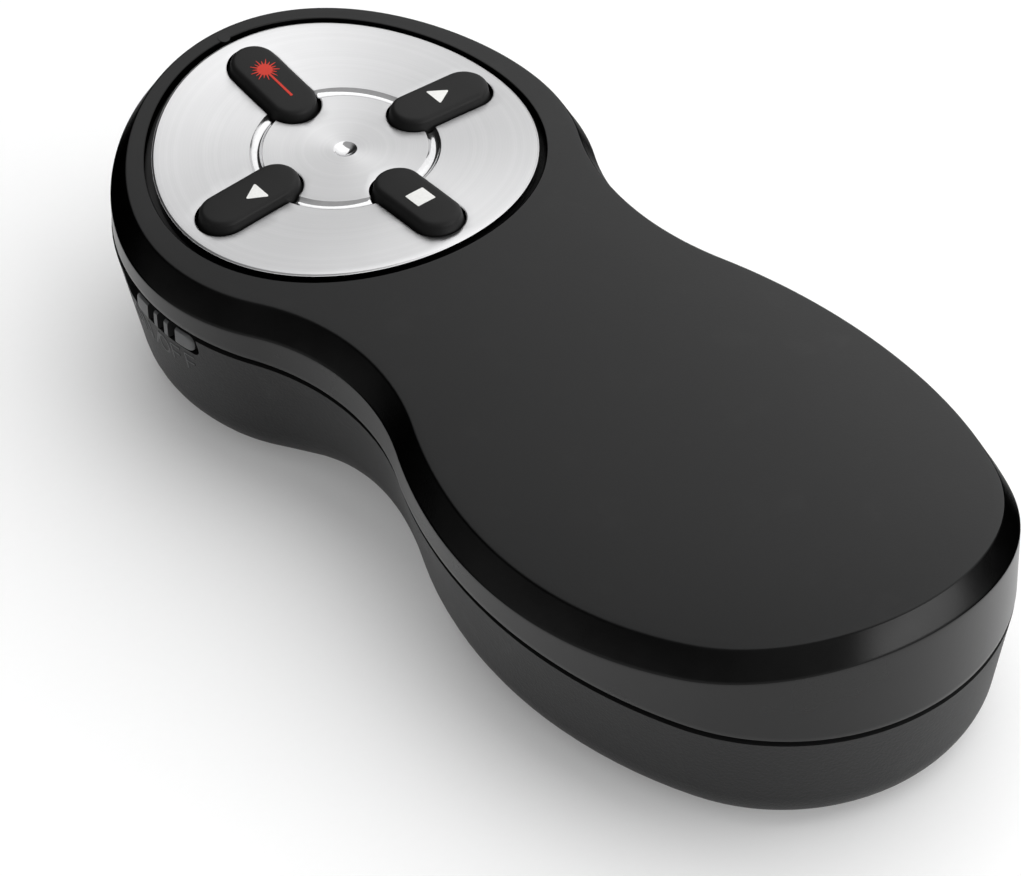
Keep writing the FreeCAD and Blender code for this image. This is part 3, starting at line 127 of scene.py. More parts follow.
# marks printed on the keys
MARK_LIFT = 0.03
MARK_DEPTH = 0.05
TRIANGLE = ((1.0, 0.0), (-0.85, 1.15), (-0.85, -1.15))
TRIANGLE_RADIUS = 0.12
TRIANGLE_PLACES = (("next", 0, 0.1, 0.0), ("previous", 2, -0.26, 0.55))
SQUARE = ((1.5, 1.0), (-0.5, 1.0), (-0.5, -1.0), (1.5, -1.0))
SQUARE_RADIUS = 0.1
BURST_RAYS = 18
BURST_CENTRE = 1.35
BURST_CORE = 0.72
BURST_REACH = (1.42, 1.16)
# half widths of a ray at its foot and tip, as shares of the rays' pitch
BURST_FOOT = 0.32
BURST_TIP = 0.05
RAY = ((1.0, 0.11), (-2.9, 0.13), (-2.9, -0.13), (1.0, -0.11))

# knob of the power switch, ridged by three round grooves
KNOB_LENGTH = 8.9
KNOB_TALL = 1.85
KNOB_ROUND = 0.8
KNOB_EDGE = 0.25
KNOB_SINK = 0.2
KNOB_GROOVES = (-1, 0, 1)
KNOB_PITCH = 1.6
KNOB_GROOVE = 1.05
KNOB_GROOVE_DEPTH = 1.2
KNOB_GROOVE_STEPS = 6
KNOB_STATION = 29.85
KNOB_DROP = 0.75
# columns between the grooves and the ends, and rows across, as shares
KNOB_COLUMNS = (0.25, 0.5, 0.7, 0.82, 0.9, 0.95, 0.98, 1.0)
KNOB_ROWS = (-1.0, -0.92, -0.8, -0.5, 0.0, 0.5, 0.8, 0.92, 1.0)
# plate behind the wall: growth as a share, depth under its face
KNOB_PLATE = ((0.0, 0.0), (1.0, 0.0), (1.0, 0.1), (1.0, 0.6), (0.9, 0.7))
KNOB_PLATE_FACE = 18.7
KNOB_PLATE_REACH = 1.0
KNOB_PLATE_LIP = 0.35

# lettering under the switch, each letter's strokes in a square of side 1
LETTER_START = math.radians(163.5)
LETTER_DROP = 5.6
LETTER_HEIGHT = 2.1
LETTER_WIDTH = 1.5
LETTER_PITCH = 1.38
SLASH_PITCH = 0.75
LETTER_STROKE = 0.32
LETTER_STEP = 0.3
# section of a stroke: share of its half width, lift over the shell
LETTER_SECTION = ((-1.0, -0.03), (-0.75, 0.03), (-0.4, 0.06), (0.4, 0.06), (0.75, 0.03), (1.0, -0.03))
ROUND_LETTER = [math.pi * step / 10 for step in range(21)]
LETTERS = {
    "O": [[(0.5 + 0.5 * math.cos(angle), 0.5 + 0.5 * math.sin(angle)) for angle in ROUND_LETTER]],
    "N": [[(0.0, 0.0), (0.0, 1.0), (1.0, 0.0), (1.0, 1.0)]],
    "F": [[(0.9, 1.0), (0.0, 1.0), (0.0, 0.0)], [(0.0, 0.52), (0.75, 0.52)]],
    "/": [[(0.1, -0.05), (0.9, 1.05)]],
}

# fineness of the meshes: lengths between points, and points round a circle
OUTLINE_MESH = 0.8
FACE_MESH = 1.3
SEAT_MESH = 2.5
DECK_MESH = 4.0
DISC_MESH = 1.08
DISC_MESH_CLEAR = 0.5
MARK_MESH = 0.5
FILL_CLEAR = 0.6
SEAT_POINTS = 150
DISC_POINTS = 180
DIMPLE_POINTS = 48

# floor and light: the lamps' spread is their energy for a square metre with a brightness of 1
FLOOR_REACH = 3000.0
PAPER_LIFT = 0.16
SKY_LOW = 0.03
SKY_HIGH = 0.55
LAMP_SPREAD = 4.0

# camera: angles in degrees, place in metres, lens in millimetres
CAMERA_AZIMUTH = -36.637
CAMERA_ELEVATION = 42.235
CAMERA_ROLL = -2.231
CAMERA_DISTANCE = 0.55922
CAMERA_TARGET = (0.00129, 0.0087, 0.0)
CAMERA_LENS = 211.77
CAMERA_SENSOR = 36.0

# how much bluer than grey the plastics are
COOL_TINT = 0.02


class Value:
    """A node's output, on which Python's operators add Math nodes."""

    def __init__(self, graph, made, output):
        self.graph = graph
        self.made = made
        self.output = output

    def maths(self, operation, first, second):
        return self.graph.node("ShaderNodeMath", {"operation": operation}, {0: first, 1: second})

    def __add__(self, other):
        return self.maths("ADD", self, other)

    def __radd__(self, other):
        return self.maths("ADD", other, self)

    def __sub__(self, other):
        return self.maths("SUBTRACT", self, other)

    def __rsub__(self, other):
        return self.maths("SUBTRACT", other, self)

    def __mul__(self, other):
        return self.maths("MULTIPLY", self, other)

    def __rmul__(self, other):
        return self.maths("MULTIPLY", other, self)

    def __truediv__(self, other):
        return self.maths("DIVIDE", self, other)

    def __rtruediv__(self, other):
        return self.maths("DIVIDE", other, self)

    def __gt__(self, other):
        return self.maths("GREATER_THAN", self, other)

    def __lt__(self, other):
        return self.maths("LESS_THAN", self, other)

    def largest(self, other):
        return self.maths("MAXIMUM", self, other)

    def clamp(self):
        return self.maths("MINIMUM", self.largest(0.0), 1.0)


class Graph:
    """The nodes of a material or of the sky, all made by one method."""

    def __init__(self, owner):
        owner.use_nodes = True
        self.tree = owner.node_tree
        self.tree.nodes.clear()

    def feed(self, socket, amount):
        if isinstance(amount, Value):
            self.tree.links.new(amount.made.outputs[amount.output], socket)
        elif isinstance(amount, tuple) and len(amount) == 3 and len(socket.default_value) == 4:
            socket.default_value = (*amount, 1.0)
        else:
            socket.default_value = amount

    def node(self, kind, settings=None, inputs=None, output=0):
        """Add a node of a kind: its settings first, then what its sockets hold or are linked to."""
        made = self.tree.nodes.new(kind)
        for word, choice in (settings or {}).items():
            setattr(made, word, choice)
        for socket, amount in (inputs or {}).items():
            self.feed(made.inputs[socket], amount)
        return Value(self, made, output)


class Finish(Graph):
    """A material: its shader, and the textures that vary it."""

    def __init__(self, name, **settings):
        self.material = bpy.data.materials.new(name)
        super().__init__(self.material)
        self.shader = self.node("ShaderNodeBsdfPrincipled")
        self.surface = self.node("ShaderNodeOutputMaterial", None, {"Surface": self.shader})
        self.set(**settings)

    def set(self, **settings):
        """Set the shader's sockets, named with underscores for spaces."""
        for word, amount in settings.items():
            socket = word.replace("_", " ").title().replace("Ior", "IOR")
            self.feed(self.shader.made.inputs[socket], amount)

    def place(self):
        """Position on the piece at rest, in metres."""
        return self.node("ShaderNodeTexCoord", output="Object")

    def noise(self, grain, detail=2.0, roughness=0.5, place=None):
        """Noise whose features are about a grain, in millimetres, across."""
        inputs = {
            "Vector": place or self.place(),
            "Scale": 1.0 / (grain * MM),
            "Detail": detail,
            "Roughness": roughness,
        }
        return self.node("ShaderNodeTexNoise", None, inputs)

    def mix(self, share, first, second):
        """A colour between two colours."""
        return self.node("ShaderNodeMix", {"data_type": "RGBA"}, {0: share, 6: first, 7: second}, 2)

    def bump(self, height, depth):
        """A bump, with the depth of a full step of the height in millimetres."""
        return self.node("ShaderNodeBump", None, {"Height": height, "Distance": depth * MM, "Strength": 1.0})

    def ramp(self, value, low, high):
        """0 below the low value and 1 above the high one, smooth between."""
        inputs = {"Value": value, "From Min": low, "From Max": high}
        return self.node("ShaderNodeMapRange", {"interpolation_type": "SMOOTHSTEP"}, inputs)


def shade(level, tint=0.0):
    """A grey, slightly blue with a positive tint."""
    return (level * (1 - tint), level, level * (1 + tint))


def moulded(name, level, roughness, grain, depth, wear=0.1, gloss=0.3):
    """Moulded plastic: fine spark-eroded grain, cloudy tone, handling marks."""
    finish = Finish(name, ior=1.48, specular_ior_level=gloss)
    texture = finish.noise(grain, 3.0, 0.6)
    clouds = finish.noise(14.0, 3.0)
    rubbed = finish.ramp(finish.noise(5.0, 5.0, 0.65), 0.55, 0.75)
    tone = finish.mix(clouds, shade(level * 0.92, COOL_TINT), shade(level * 1.08, COOL_TINT))
    tone = finish.mix(rubbed * wear, tone, shade(level * 1.5, COOL_TINT))
    finish.set(
        base_color=tone,
        roughness=roughness + 0.08 * (texture - 0.5) + 0.06 * (clouds - 0.5) - 0.05 * rubbed,
        normal=finish.bump(texture, depth),
    )
    return finish.material


def satin(name, level, roughness, gloss=0.42):
    """Smooth satin plastic: faint orange peel, hair-fine scuffs."""
    finish = Finish(name, ior=1.5, specular_ior_level=gloss)
    peel = finish.noise(2.4, 2.0)
    scuff = finish.ramp(finish.noise(0.6, 6.0, 0.7), 0.6, 0.8)
    clouds = finish.noise(9.0, 3.0)
    finish.set(
        base_color=finish.mix(clouds, shade(level * 0.9, COOL_TINT), shade(level * 1.1, COOL_TINT)),
        roughness=roughness + 0.05 * (clouds - 0.5) + 0.06 * scuff,
        normal=finish.bump(peel, 0.004),
    )
    return finish.material


def black_band(name, level, roughness):
    """Satin black whose gloss fades at glancing angles, with a fine blasted grain."""
    finish = Finish(name, metallic=1.0, specular_tint=(0.0, 0.0, 0.0))
    grain = finish.noise(0.16, 3.0, 0.7)
    clouds = finish.noise(3.0, 3.0)
    finish.set(
        base_color=finish.mix(clouds, shade(level * 0.85), shade(level * 1.15)),
        roughness=roughness + 0.1 * (grain - 0.5) + 0.05 * (clouds - 0.5),
        normal=finish.bump(grain, 0.006),
    )
    return finish.material


def polished_metal(name):
    """Turned and polished metal, with very faint tool marks."""
    finish = Finish(name, metallic=1.0)
    marks = finish.noise(0.35, 3.0)
    finish.set(
        base_color=finish.mix(marks, (0.5, 0.5, 0.505), (0.6, 0.6, 0.605)),
        roughness=0.1 + 0.06 * marks,
        normal=finish.bump(marks, 0.001),
    )
    return finish.material


def spun_metal(name, centre):
    """Spun metal: fine rings round a centre, with the gloss drawn out across them, and a painted reflection
    in two fan shapes in its colour.
    """
    finish = Finish(name, metallic=1.0, anisotropic=0.9)
    place = finish.place()
    split = finish.node("ShaderNodeVectorMath", {"operation": "SUBTRACT"}, {0: place, 1: centre})
    flat = finish.node("ShaderNodeVectorMath", {"operation": "MULTIPLY"}, {0: split, 1: (1.0, 1.0, 0.0)})
    reach = finish.node("ShaderNodeVectorMath", {"operation": "LENGTH"}, {0: flat}, "Value")
    across = finish.node("ShaderNodeCombineXYZ", None, {"X": reach})
    rings = finish.noise(0.09, 3.0, 0.7, across)
    bands = finish.noise(0.7, 2.0, 0.6, across)
    patches = finish.noise(3.0, 2.0)
    x = finish.node("ShaderNodeSeparateXYZ", None, {0: flat}, "X") / reach
    y = finish.node("ShaderNodeSeparateXYZ", None, {0: flat}, "Y") / reach
    # painted reflection: two broad fan shapes across the disc, lighter and darker by the angle round its
    # centre, standing in for the lamps' reflection in the spun finish
    painted_reflection_fans = (y * y - x * x) * 0.95 + x * y * 0.6
    # the rings and bands are the metal's own tone; the fan shapes are painted reflection
    ring_tone_and_painted_fans = (0.65 * rings + 0.35 * bands + 0.3 * painted_reflection_fans).clamp()
    finish.set(
        base_color=finish.mix(ring_tone_and_painted_fans, (0.37, 0.37, 0.374), (0.58, 0.58, 0.585)),
        roughness=0.31 + 0.1 * (rings - 0.5) + 0.05 * (patches - 0.5),
        normal=finish.bump(rings, 0.002),
    )
    return finish.material


def plain_metal(name, colour, roughness):
    """Plated or turned metal with drawn marks and a little tarnish."""
    finish = Finish(name, metallic=1.0)
    marks = finish.noise(0.5, 4.0, 0.65)
    tarnish = finish.ramp(finish.noise(4.0, 4.0), 0.5, 0.8)
    dull = tuple(part * 0.72 for part in colour)
    finish.set(
        base_color=finish.mix(0.3 * marks + 0.35 * tarnish, colour, dull),
        roughness=roughness + 0.12 * (marks - 0.5) + 0.1 * tarnish,
        normal=finish.bump(marks, 0.004),
    )
    return finish.material


def rubber(name, level):
    """Silicone rubber: dull, with a powdery sheen and fine pitting."""
    finish = Finish(name, ior=1.42, specular_ior_level=0.2)
    pits = finish.noise(0.12, 2.0, 0.6)
    clouds = finish.noise(3.0, 2.0)
    finish.set(
        base_color=finish.mix(clouds, shade(level * 0.85), shade(level * 1.15)),
        roughness=0.5 + 0.08 * (pits - 0.5) + 0.08 * (clouds - 0.5),
        normal=finish.bump(pits, 0.006),
    )
    return finish.material


def cell_finish(name, axis):
    """A dry cell: dark sleeve with a copper band at one end, bare steel at both ends."""
    finish = Finish(name)
    spread = finish.node("ShaderNodeTexCoord", output="Generated")
    along = finish.node("ShaderNodeSeparateXYZ", None, {0: spread}, axis)
    bare = (along > 0.975).largest(along < 0.012)
    scuff = finish.ramp(finish.noise(1.5, 5.0, 0.7), 0.55, 0.75)
    sleeve = finish.mix(finish.ramp(along, 0.7, 0.705), (0.02, 0.021, 0.024), (0.42, 0.19, 0.07))
    colour = finish.mix(bare, sleeve, (0.66, 0.66, 0.67))
    finish.set(
        base_color=finish.mix(scuff * 0.15, colour, (0.4, 0.4, 0.4)),
        metallic=bare,
        roughness=0.3 + 0.15 * scuff,
        normal=finish.bump(scuff, 0.004),
    )
    return finish.material


def ink(name, colour):
    """Printing ink on a key: slightly uneven in cover."""
    finish = Finish(name, ior=1.45, specular_ior_level=0.15)
    cover = finish.noise(0.25, 3.0, 0.6)
    thin = tuple(part * 0.8 for part in colour)
    finish.set(
        base_color=finish.mix(cover, thin, colour),
        roughness=0.45 + 0.1 * (cover - 0.5),
        normal=finish.bump(cover, 0.003),
    )
    return finish.material


def outline(inset):
    """Points and outward directions round the body, moved inwards, anticlockwise from the front."""
    head = HEAD_RADIUS - inset
    tail = TAIL_RADIUS - inset
    waist = WAIST_RADIUS + inset
    flank = FLANK_RADIUS - inset
    flank_x = TAIL_HALF_WIDTH - FLANK_RADIUS
    flank_y = TAIL_CENTRE + math.sqrt((flank - tail) ** 2 - flank_x**2)
    reach_head = head + waist
    reach_flank = flank + waist
    along = flank_y - HEAD_CENTRE
    gap = math.hypot(flank_x, along)
    foot = (reach_head**2 - reach_flank**2 + gap**2) / (2 * gap)
    rise = math.sqrt(reach_head**2 - foot**2)
    waist_x = (foot * flank_x - rise * along) / gap
    waist_y = HEAD_CENTRE + (foot * along + rise * flank_x) / gap
    to_head = math.atan2(HEAD_CENTRE - waist_y, -waist_x)
    to_flank = math.atan2(flank_y - waist_y, flank_x - waist_x) + 2 * math.pi
    to_waist = math.atan2(waist_y - flank_y, waist_x - flank_x)
    to_tail = math.atan2(TAIL_CENTRE - flank_y, -flank_x)
    half = math.pi
    arcs = (
        (0.0, HEAD_CENTRE, head, half / 2, 2 * half - to_head, 1),
        (-waist_x, waist_y, waist, half - to_head, half - to_flank, -1),
        (-flank_x, flank_y, flank, half - to_waist, half - to_tail, 1),
        (0.0, TAIL_CENTRE, tail, half - to_tail, 2 * half + to_tail, 1),
        (flank_x, flank_y, flank, to_tail, to_waist, 1),
        (waist_x, waist_y, waist, to_flank, to_head, -1),
        (0.0, HEAD_CENTRE, head, to_head - half, half / 2, 1),
    )
    points = []
    for x, y, radius, start, end, side in arcs:
        # the steps are counted on the uninset arc, so that all insets have the same number of points
        full = radius + inset * side
        steps = max(4, round(abs(end - start) * full / OUTLINE_MESH))
        for step in range(steps):
            angle = start + (end - start) * step / steps
            out = (math.cos(angle) * side, math.sin(angle) * side)
            points.append((x + radius * math.cos(angle), y + radius * math.sin(angle), out))
    return points


def on_seam(x, y, rise):
    """A point of the tilted seam plane, raised square to it."""
    return (
        x,
        y * math.cos(SEAM_TILT) - rise * math.sin(SEAM_TILT),
        SEAM_HEIGHT + y * math.sin(SEAM_TILT) + rise * math.cos(SEAM_TILT),
    )


def natural_curve(stations, amounts):
    """A smooth curve through amounts at stations: a natural cubic spline."""
    count = len(stations)
    steps = [stations[i + 1] - stations[i] for i in range(count - 1)]
    slopes = [(amounts[i + 1] - amounts[i]) / steps[i] for i in range(count - 1)]
    bends = [0.0] * count
    diagonal = [1.0] * count
    right = [0.0] * count
    for i in range(1, count - 1):
        diagonal[i] = 2 * (steps[i - 1] + steps[i])
        right[i] = 6 * (slopes[i] - slopes[i - 1])
    for i in range(2, count - 1):
        share = steps[i - 1] / diagonal[i - 1]
        diagonal[i] -= share * steps[i - 1]
        right[i] -= share * right[i - 1]
    for i in range(count - 2, 0, -1):
        following = steps[i] * bends[i + 1] if i < count - 2 else 0.0
        bends[i] = (right[i] - following) / diagonal[i]

    def curve(place):
        i = 0
        while i < count - 2 and place > stations[i + 1]:
            i += 1
        ahead = stations[i + 1] - place
        behind = place - stations[i]
        step = steps[i]
        value = bends[i] * ahead**3 + bends[i + 1] * behind**3
        value /= 6 * step
        value += (amounts[i] / step - bends[i] * step / 6) * ahead
        value += (amounts[i + 1] / step - bends[i + 1] * step / 6) * behind
        return value

    return curve


crown_places, crown_heights, crown_radii = zip(*CROWN)
crown_stations = [DISC_CENTRE + place for place in crown_places]
crown_middle = natural_curve(crown_stations, [DISC_HEIGHT + height for height in crown_heights])
crown_radius = natural_curve(crown_stations, crown_radii)


def crown(x, y):
    """Height of the top face."""
    radius = crown_radius(y)
    return crown_middle(y) - radius + math.sqrt(radius**2 - x**2)


class Shape:
    """Points and faces of a mesh, with a material number and normals for the faces that have them."""

    def __init__(self):
        self.points = []
        self.faces = []
        self.slots = []
        self.normals = []

    def add(self, face, slot=0, normals=None):
        self.faces.append(tuple(face))
        self.slots.append(slot)
        self.normals.append(normals or [(0.0, 0.0, 0.0)] * len(face))

    def row(self, points):
        start = len(self.points)
        self.points.extend(points)
        return list(range(start, start + len(points)))

    def strip(self, low, high, slot=0, closed=True):
        """Faces between two rows of as many points."""
        count = len(low)
        for i in range(count if closed else count - 1):
            j = (i + 1) % count
            self.add((low[i], low[j], high[j], high[i]), slot)

    def sheet(self, loops, spacing, inside, height, slot=0, down=False, rings=None):
        """A triangulated surface between closed loops; returns the rows of its loops."""
        flat = [Vector(point) for loop in loops for point in loop]
        edges = []
        start = 0
        for loop in loops:
            count = len(loop)
            edges += [(start + i, start + (i + 1) % count) for i in range(count)]
            start += count
        flat += [Vector(point) for point in rings or fill(loops, spacing, inside)]
        corners, _, triangles, sources, _, _ = delaunay_2d_cdt(flat, edges, [], 0, 0.001)
        first = len(self.points)
        self.points.extend((point.x, point.y, height(point.x, point.y)) for point in corners)
        side = -1 if down else 1
        facing = [slope_normal(height, point.x, point.y, side) for point in corners]
        for corner in triangles:
            middle = sum((corners[i] for i in corner), Vector((0.0, 0.0))) / 3
            if inside(middle.x, middle.y):
                order = list(reversed(corner)) if down else list(corner)
                self.add([first + i for i in order], slot, [facing[i] for i in order])
        places = {}
        for number, source in enumerate(sources):
            for origin in source:
                places[origin] = first + number
        rows = []
        start = 0
        for loop in loops:
            rows.append([places[start + i] for i in range(len(loop))])
            start += len(loop)
        return rows

    def piece(self, name, materials):
        """An object with the mesh, in metres."""
        mesh = bpy.data.meshes.new(name)
        mesh.from_pydata([tuple(part * MM for part in point) for point in self.points], [], self.faces)
        for material in materials:
            mesh.materials.append(material)
        piece = bpy.data.objects.new(name, mesh)
        bpy.context.scene.collection.objects.link(piece)
        return piece

    def build(self, name, materials, body, replaces=(), sharp=35.0, place=None):
        """Make the piece, in its own axes moved by a place where one is given."""
        if place:
            self.points = [tuple(place @ Vector(point)) for point in self.points]
            spin = place.to_3x3()
            self.normals = [[tuple(spin @ Vector(normal)) for normal in face] for face in self.normals]
        piece = self.piece(name, materials)
        mesh = piece.data
        for polygon, number in zip(mesh.polygons, self.slots):
            polygon.material_index = number
        mesh.polygons.foreach_set("use_smooth", [True] * len(mesh.polygons))
        mesh.set_sharp_from_angle(angle=math.radians(sharp))
        if any(any(normal) for face in self.normals for normal in face):
            mesh.normals_split_custom_set([normal for face in self.normals for normal in face])
        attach(piece, body)
        if replaces:
            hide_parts(*replaces)
        return piece


def slope_normal(height, x, y, sign, step=0.03):
    """Direction square to a surface, worked out from its heights a step away."""
    along_x = (height(x + step, y) - height(x - step, y)) / (2 * step)
    along_y = (height(x, y + step) - height(x, y - step)) / (2 * step)
    normal = Vector((-along_x, -along_y, 1.0)).normalized() * sign
    return tuple(normal)


def fill(loops, spacing, inside):
    """Points of a triangular grid inside the first loop, kept off all loops."""
    cells = {}
    for loop in loops:
        for x, y in loop:
            cells.setdefault((round(x / spacing), round(y / spacing)), []).append((x, y))
    xs = [point[0] for point in loops[0]]
    ys = [point[1] for point in loops[0]]
    points = []
    row = 0
    y = min(ys)
    while y < max(ys):
        x = min(xs) + (spacing / 2 if row % 2 else 0.0)
        while x < max(xs):
            column = round(x / spacing)
            line = round(y / spacing)
            near = [
                point
                for i in (column - 1, column, column + 1)
                for j in (line - 1, line, line + 1)
                for point in cells.get((i, j), ())
            ]
            clear = all(math.hypot(x - a, y - b) > spacing * FILL_CLEAR for a, b in near)
            if clear and inside(x, y):
                points.append((x, y))
            x += spacing
        y += spacing * math.sqrt(3) / 2
        row += 1
    return points


def disc_circle(radius, count):
    """Points of a circle round the disc's centre."""
    turn = 2 * math.pi / count
    return [(radius * math.cos(i * turn), DISC_CENTRE + radius * math.sin(i * turn)) for i in range(count)]


def disc_reach(x, y):
    """Distance from the disc's centre, seen from above."""
    return math.hypot(x, y - DISC_CENTRE)


def slot_loop(reach, radius, per_end=20, per_side=8):
    """A round-ended slot along x, centred on zero, anticlockwise."""
    points = []
    for step in range(per_end):
        angle = -math.pi / 2 + math.pi * step / per_end
        points.append((reach + radius * math.cos(angle), radius * math.sin(angle)))
    for step in range(per_side):
        points.append((reach - 2 * reach * step / per_side, radius))
    for step in range(per_end):
        angle = math.pi / 2 + math.pi * step / per_end
        points.append((-reach + radius * math.cos(angle), radius * math.sin(angle)))
    for step in range(per_side):
        points.append((-reach + 2 * reach * step / per_side, -radius))
    return points


def key_holes(grow):
    """The outlines of the key holes, larger than the keys all round."""
    holes = []
    for _, turns in KEYS:
        cos = math.cos(math.pi / 2 * turns)
        sin = math.sin(math.pi / 2 * turns)
        hole = []
        for x, y in slot_loop(KEY_REACH, KEY_WIDTH / 2 + grow):
            x += KEY_ORBIT
            hole.append((x * cos - y * sin, DISC_CENTRE + x * sin + y * cos))
        holes.append(hole)
    return holes


def slot_distance(x, y, grow):
    """Distance outside the nearest key hole, negative inside."""
    distances = []
    for _, turns in KEYS:
        cos = math.cos(math.pi / 2 * turns)
        sin = math.sin(math.pi / 2 * turns)
        along = x * cos + (y - DISC_CENTRE) * sin - KEY_ORBIT
        across = (y - DISC_CENTRE) * cos - x * sin
        past = max(0.0, abs(along) - KEY_REACH)
        distances.append(math.hypot(past, across) - KEY_WIDTH / 2 - grow)
    return min(distances)


def crossing_rule(x, y, loop):
    """True inside a closed loop."""
    found = False
    count = len(loop)
    for i in range(count):
        ax, ay = loop[i]
        bx, by = loop[(i + 1) % count]
        if (ay > y) != (by > y) and x < (bx - ax) * (y - ay) / (by - ay) + ax:
            found = not found
    return found


def rounded_profile(corners, radii, steps):
    """A run of points through corners, each rounded with its radius."""
    points = [corners[0]]
    for place in range(1, len(corners) - 1):
        corner = Vector(corners[place])
        before = (Vector(corners[place - 1]) - corner).normalized()
        after = (Vector(corners[place + 1]) - corner).normalized()
        half = before.angle(after) / 2
        radius = radii[place - 1]
        back = radius / math.tan(half)
        start = corner + before * back
        end = corner + after * back
        centre = corner + (before + after).normalized() * (radius / math.sin(half))
        turn = (start - centre).angle_signed(end - centre)
        for step in range(steps + 1):
            arm = start - centre
            arm.rotate(Matrix.Rotation(-turn * step / steps, 2))
            points.append(tuple(centre + arm))
    points.append(corners[-1])
    return points


# upper shell: its materials are those of the top face, the wall, the inside and the black band
def make_upper_shell(materials):
    shape = Shape()
    base = outline(0.0)
    rim = make_rim(shape, base)
    edge = [shape.points[i][:2] for i in rim.pop()]
    mouth = SEAT_RADIUS + SEAT_SOFT

    def on_face(x, y):
        return disc_reach(x, y) > mouth and crossing_rule(x, y, edge)

    face_edge, seat_edge = shape.sheet([edge, disc_circle(mouth, SEAT_POINTS)], FACE_MESH, on_face, crown)
    rim.append(face_edge)
    for place, (low, high) in enumerate(zip(rim, rim[1:])):
        if place >= len(rim) - BAND_END:
            shape.strip(low, high, 0)
        else:
            shape.strip(low, high, 3 if place >= len(SEAM_EDGE) + BAND_START else 1)
    for grow, drop in SEAT_LIP:
        loop = disc_circle(SEAT_RADIUS + grow, SEAT_POINTS)
        row = shape.row([(x, y, crown(x, y) - drop) for x, y in loop])
        shape.strip(row, seat_edge, 3)
        seat_edge = row
    make_deck(shape, rim[0], [(x - out[0] * WALL, y - out[1] * WALL) for x, y, out in base])
    return shape.build("upper_shell", materials, "housing", ("top_shell",))


def make_rim(shape, base):
    """Rows round the body from the seam up to the top face, the first at the wall's inside."""

    def over_seam(inset, rise):
        return shape.row([on_seam(x - out[0] * inset, y - out[1] * inset, rise) for x, y, out in base])

    def under_crown(inset, drop):
        row = []
        for x, y, (out_x, out_y) in base:
            u = x - out_x * inset
            v = y - out_y * inset
            # the wall stands square to the seam, so it leans a little
            rise = (crown(u, v) - drop - SEAM_HEIGHT - v * math.sin(SEAM_TILT)) / math.cos(SEAM_TILT)
            row.append(on_seam(u, v, rise))
        return shape.row(row)

    rows = [over_seam(WALL, 0.0)]
    rows += [over_seam(inset, rise) for inset, rise in SEAM_EDGE]
    bevel = [(0.0, RIM_DROP), (RIM_INSET, 0.0)]
    corners = [(0.0, RIM_DROP + RIM_CURVES[0]), *bevel, (RIM_INSET + RIM_FLAT, 0.0)]
    rows += [under_crown(inset, drop) for inset, drop in rounded_profile(corners, RIM_CURVES, RIM_STEPS)]
    return rows


def make_deck(shape, foot, inner_loop):
    """The seat's floor, the deck's underside, the key holes through them and the wall's inside."""
    holes = key_holes(KEY_GAP)

    def seat_floor(x, y):
        return crown(x, y) - SEAT_DEPTH

    def in_seat(x, y):
        return disc_reach(x, y) < SEAT_RADIUS and slot_distance(x, y, KEY_GAP) > 0

    def underside(x, y):
        return DECK_UNDERSIDE

    def in_deck(x, y):
        return crossing_rule(x, y, inner_loop) and slot_distance(x, y, KEY_GAP) > 0

    seat_loop = disc_circle(SEAT_RADIUS, SEAT_POINTS)
    seat_rows = shape.sheet([seat_loop] + holes, SEAT_MESH, in_seat, seat_floor, 3)
    deck_rows = shape.sheet([inner_loop] + holes, DECK_MESH, in_deck, underside, 2, True)
    shape.strip(deck_rows[0], foot, 2)
    for low, high in zip(deck_rows[1:], seat_rows[1:]):
        shape.strip(high, low, 2)


# disc
def smooth(share):
    """From 0 to 1 as a share does, without corners."""
    share = max(0.0, min(1.0, share))
    return share * share * (3 - 2 * share)


def hollow(offset, half_width, depth):
    """Depth of a round-bottomed hollow at an offset from its middle."""
    if abs(offset) >= half_width:
        return 0.0
    radius = (half_width**2 + depth**2) / (2 * depth)
    return math.sqrt(radius**2 - offset**2) - (radius - depth)


def disc_height(x, y):
    """Top of the disc: the crown, less the groove, the dimple and the softened edges."""
    reach = disc_reach(x, y)
    height = crown(x, y) + DISC_RISE
    height -= hollow(reach - (RING_INNER + RING_OUTER) / 2, (RING_OUTER - RING_INNER) / 2, RING_DEPTH)
    height -= hollow(reach, DIMPLE_RADIUS, DIMPLE_DEPTH)
    height -= DISC_EDGE_DROP * smooth((reach - DISC_RADIUS + DISC_EDGE) / DISC_EDGE)
    past_hole = KEY_HOLE_EDGE - slot_distance(x, y, KEY_GAP)
    return height - KEY_HOLE_DROP * smooth(past_hole / KEY_HOLE_EDGE)


def disc_underside(loop):
    return [(x, y, crown(x, y) + DISC_RISE - DISC_THICKNESS) for x, y in loop]


def disc_mesh_points():
    """Rings of points over the disc, kept off the groove, the dimple and the key holes."""
    points = []
    rings = int(DISC_RADIUS / DISC_MESH) + 1
    for ring in range(1, rings):
        radius = ring * DISC_MESH
        on_groove = RING_INNER - DISC_MESH_CLEAR < radius < RING_OUTER + DISC_MESH_CLEAR
        if radius < DIMPLE_RADIUS + HOLLOW_EDGE + DISC_MESH_CLEAR / 2 or on_groove:
            continue
        for point in disc_circle(radius, max(12, round(radius * 5))):
            if slot_distance(*point, KEY_GAP) > DISC_MESH_CLEAR:
                points.append(point)
    return points


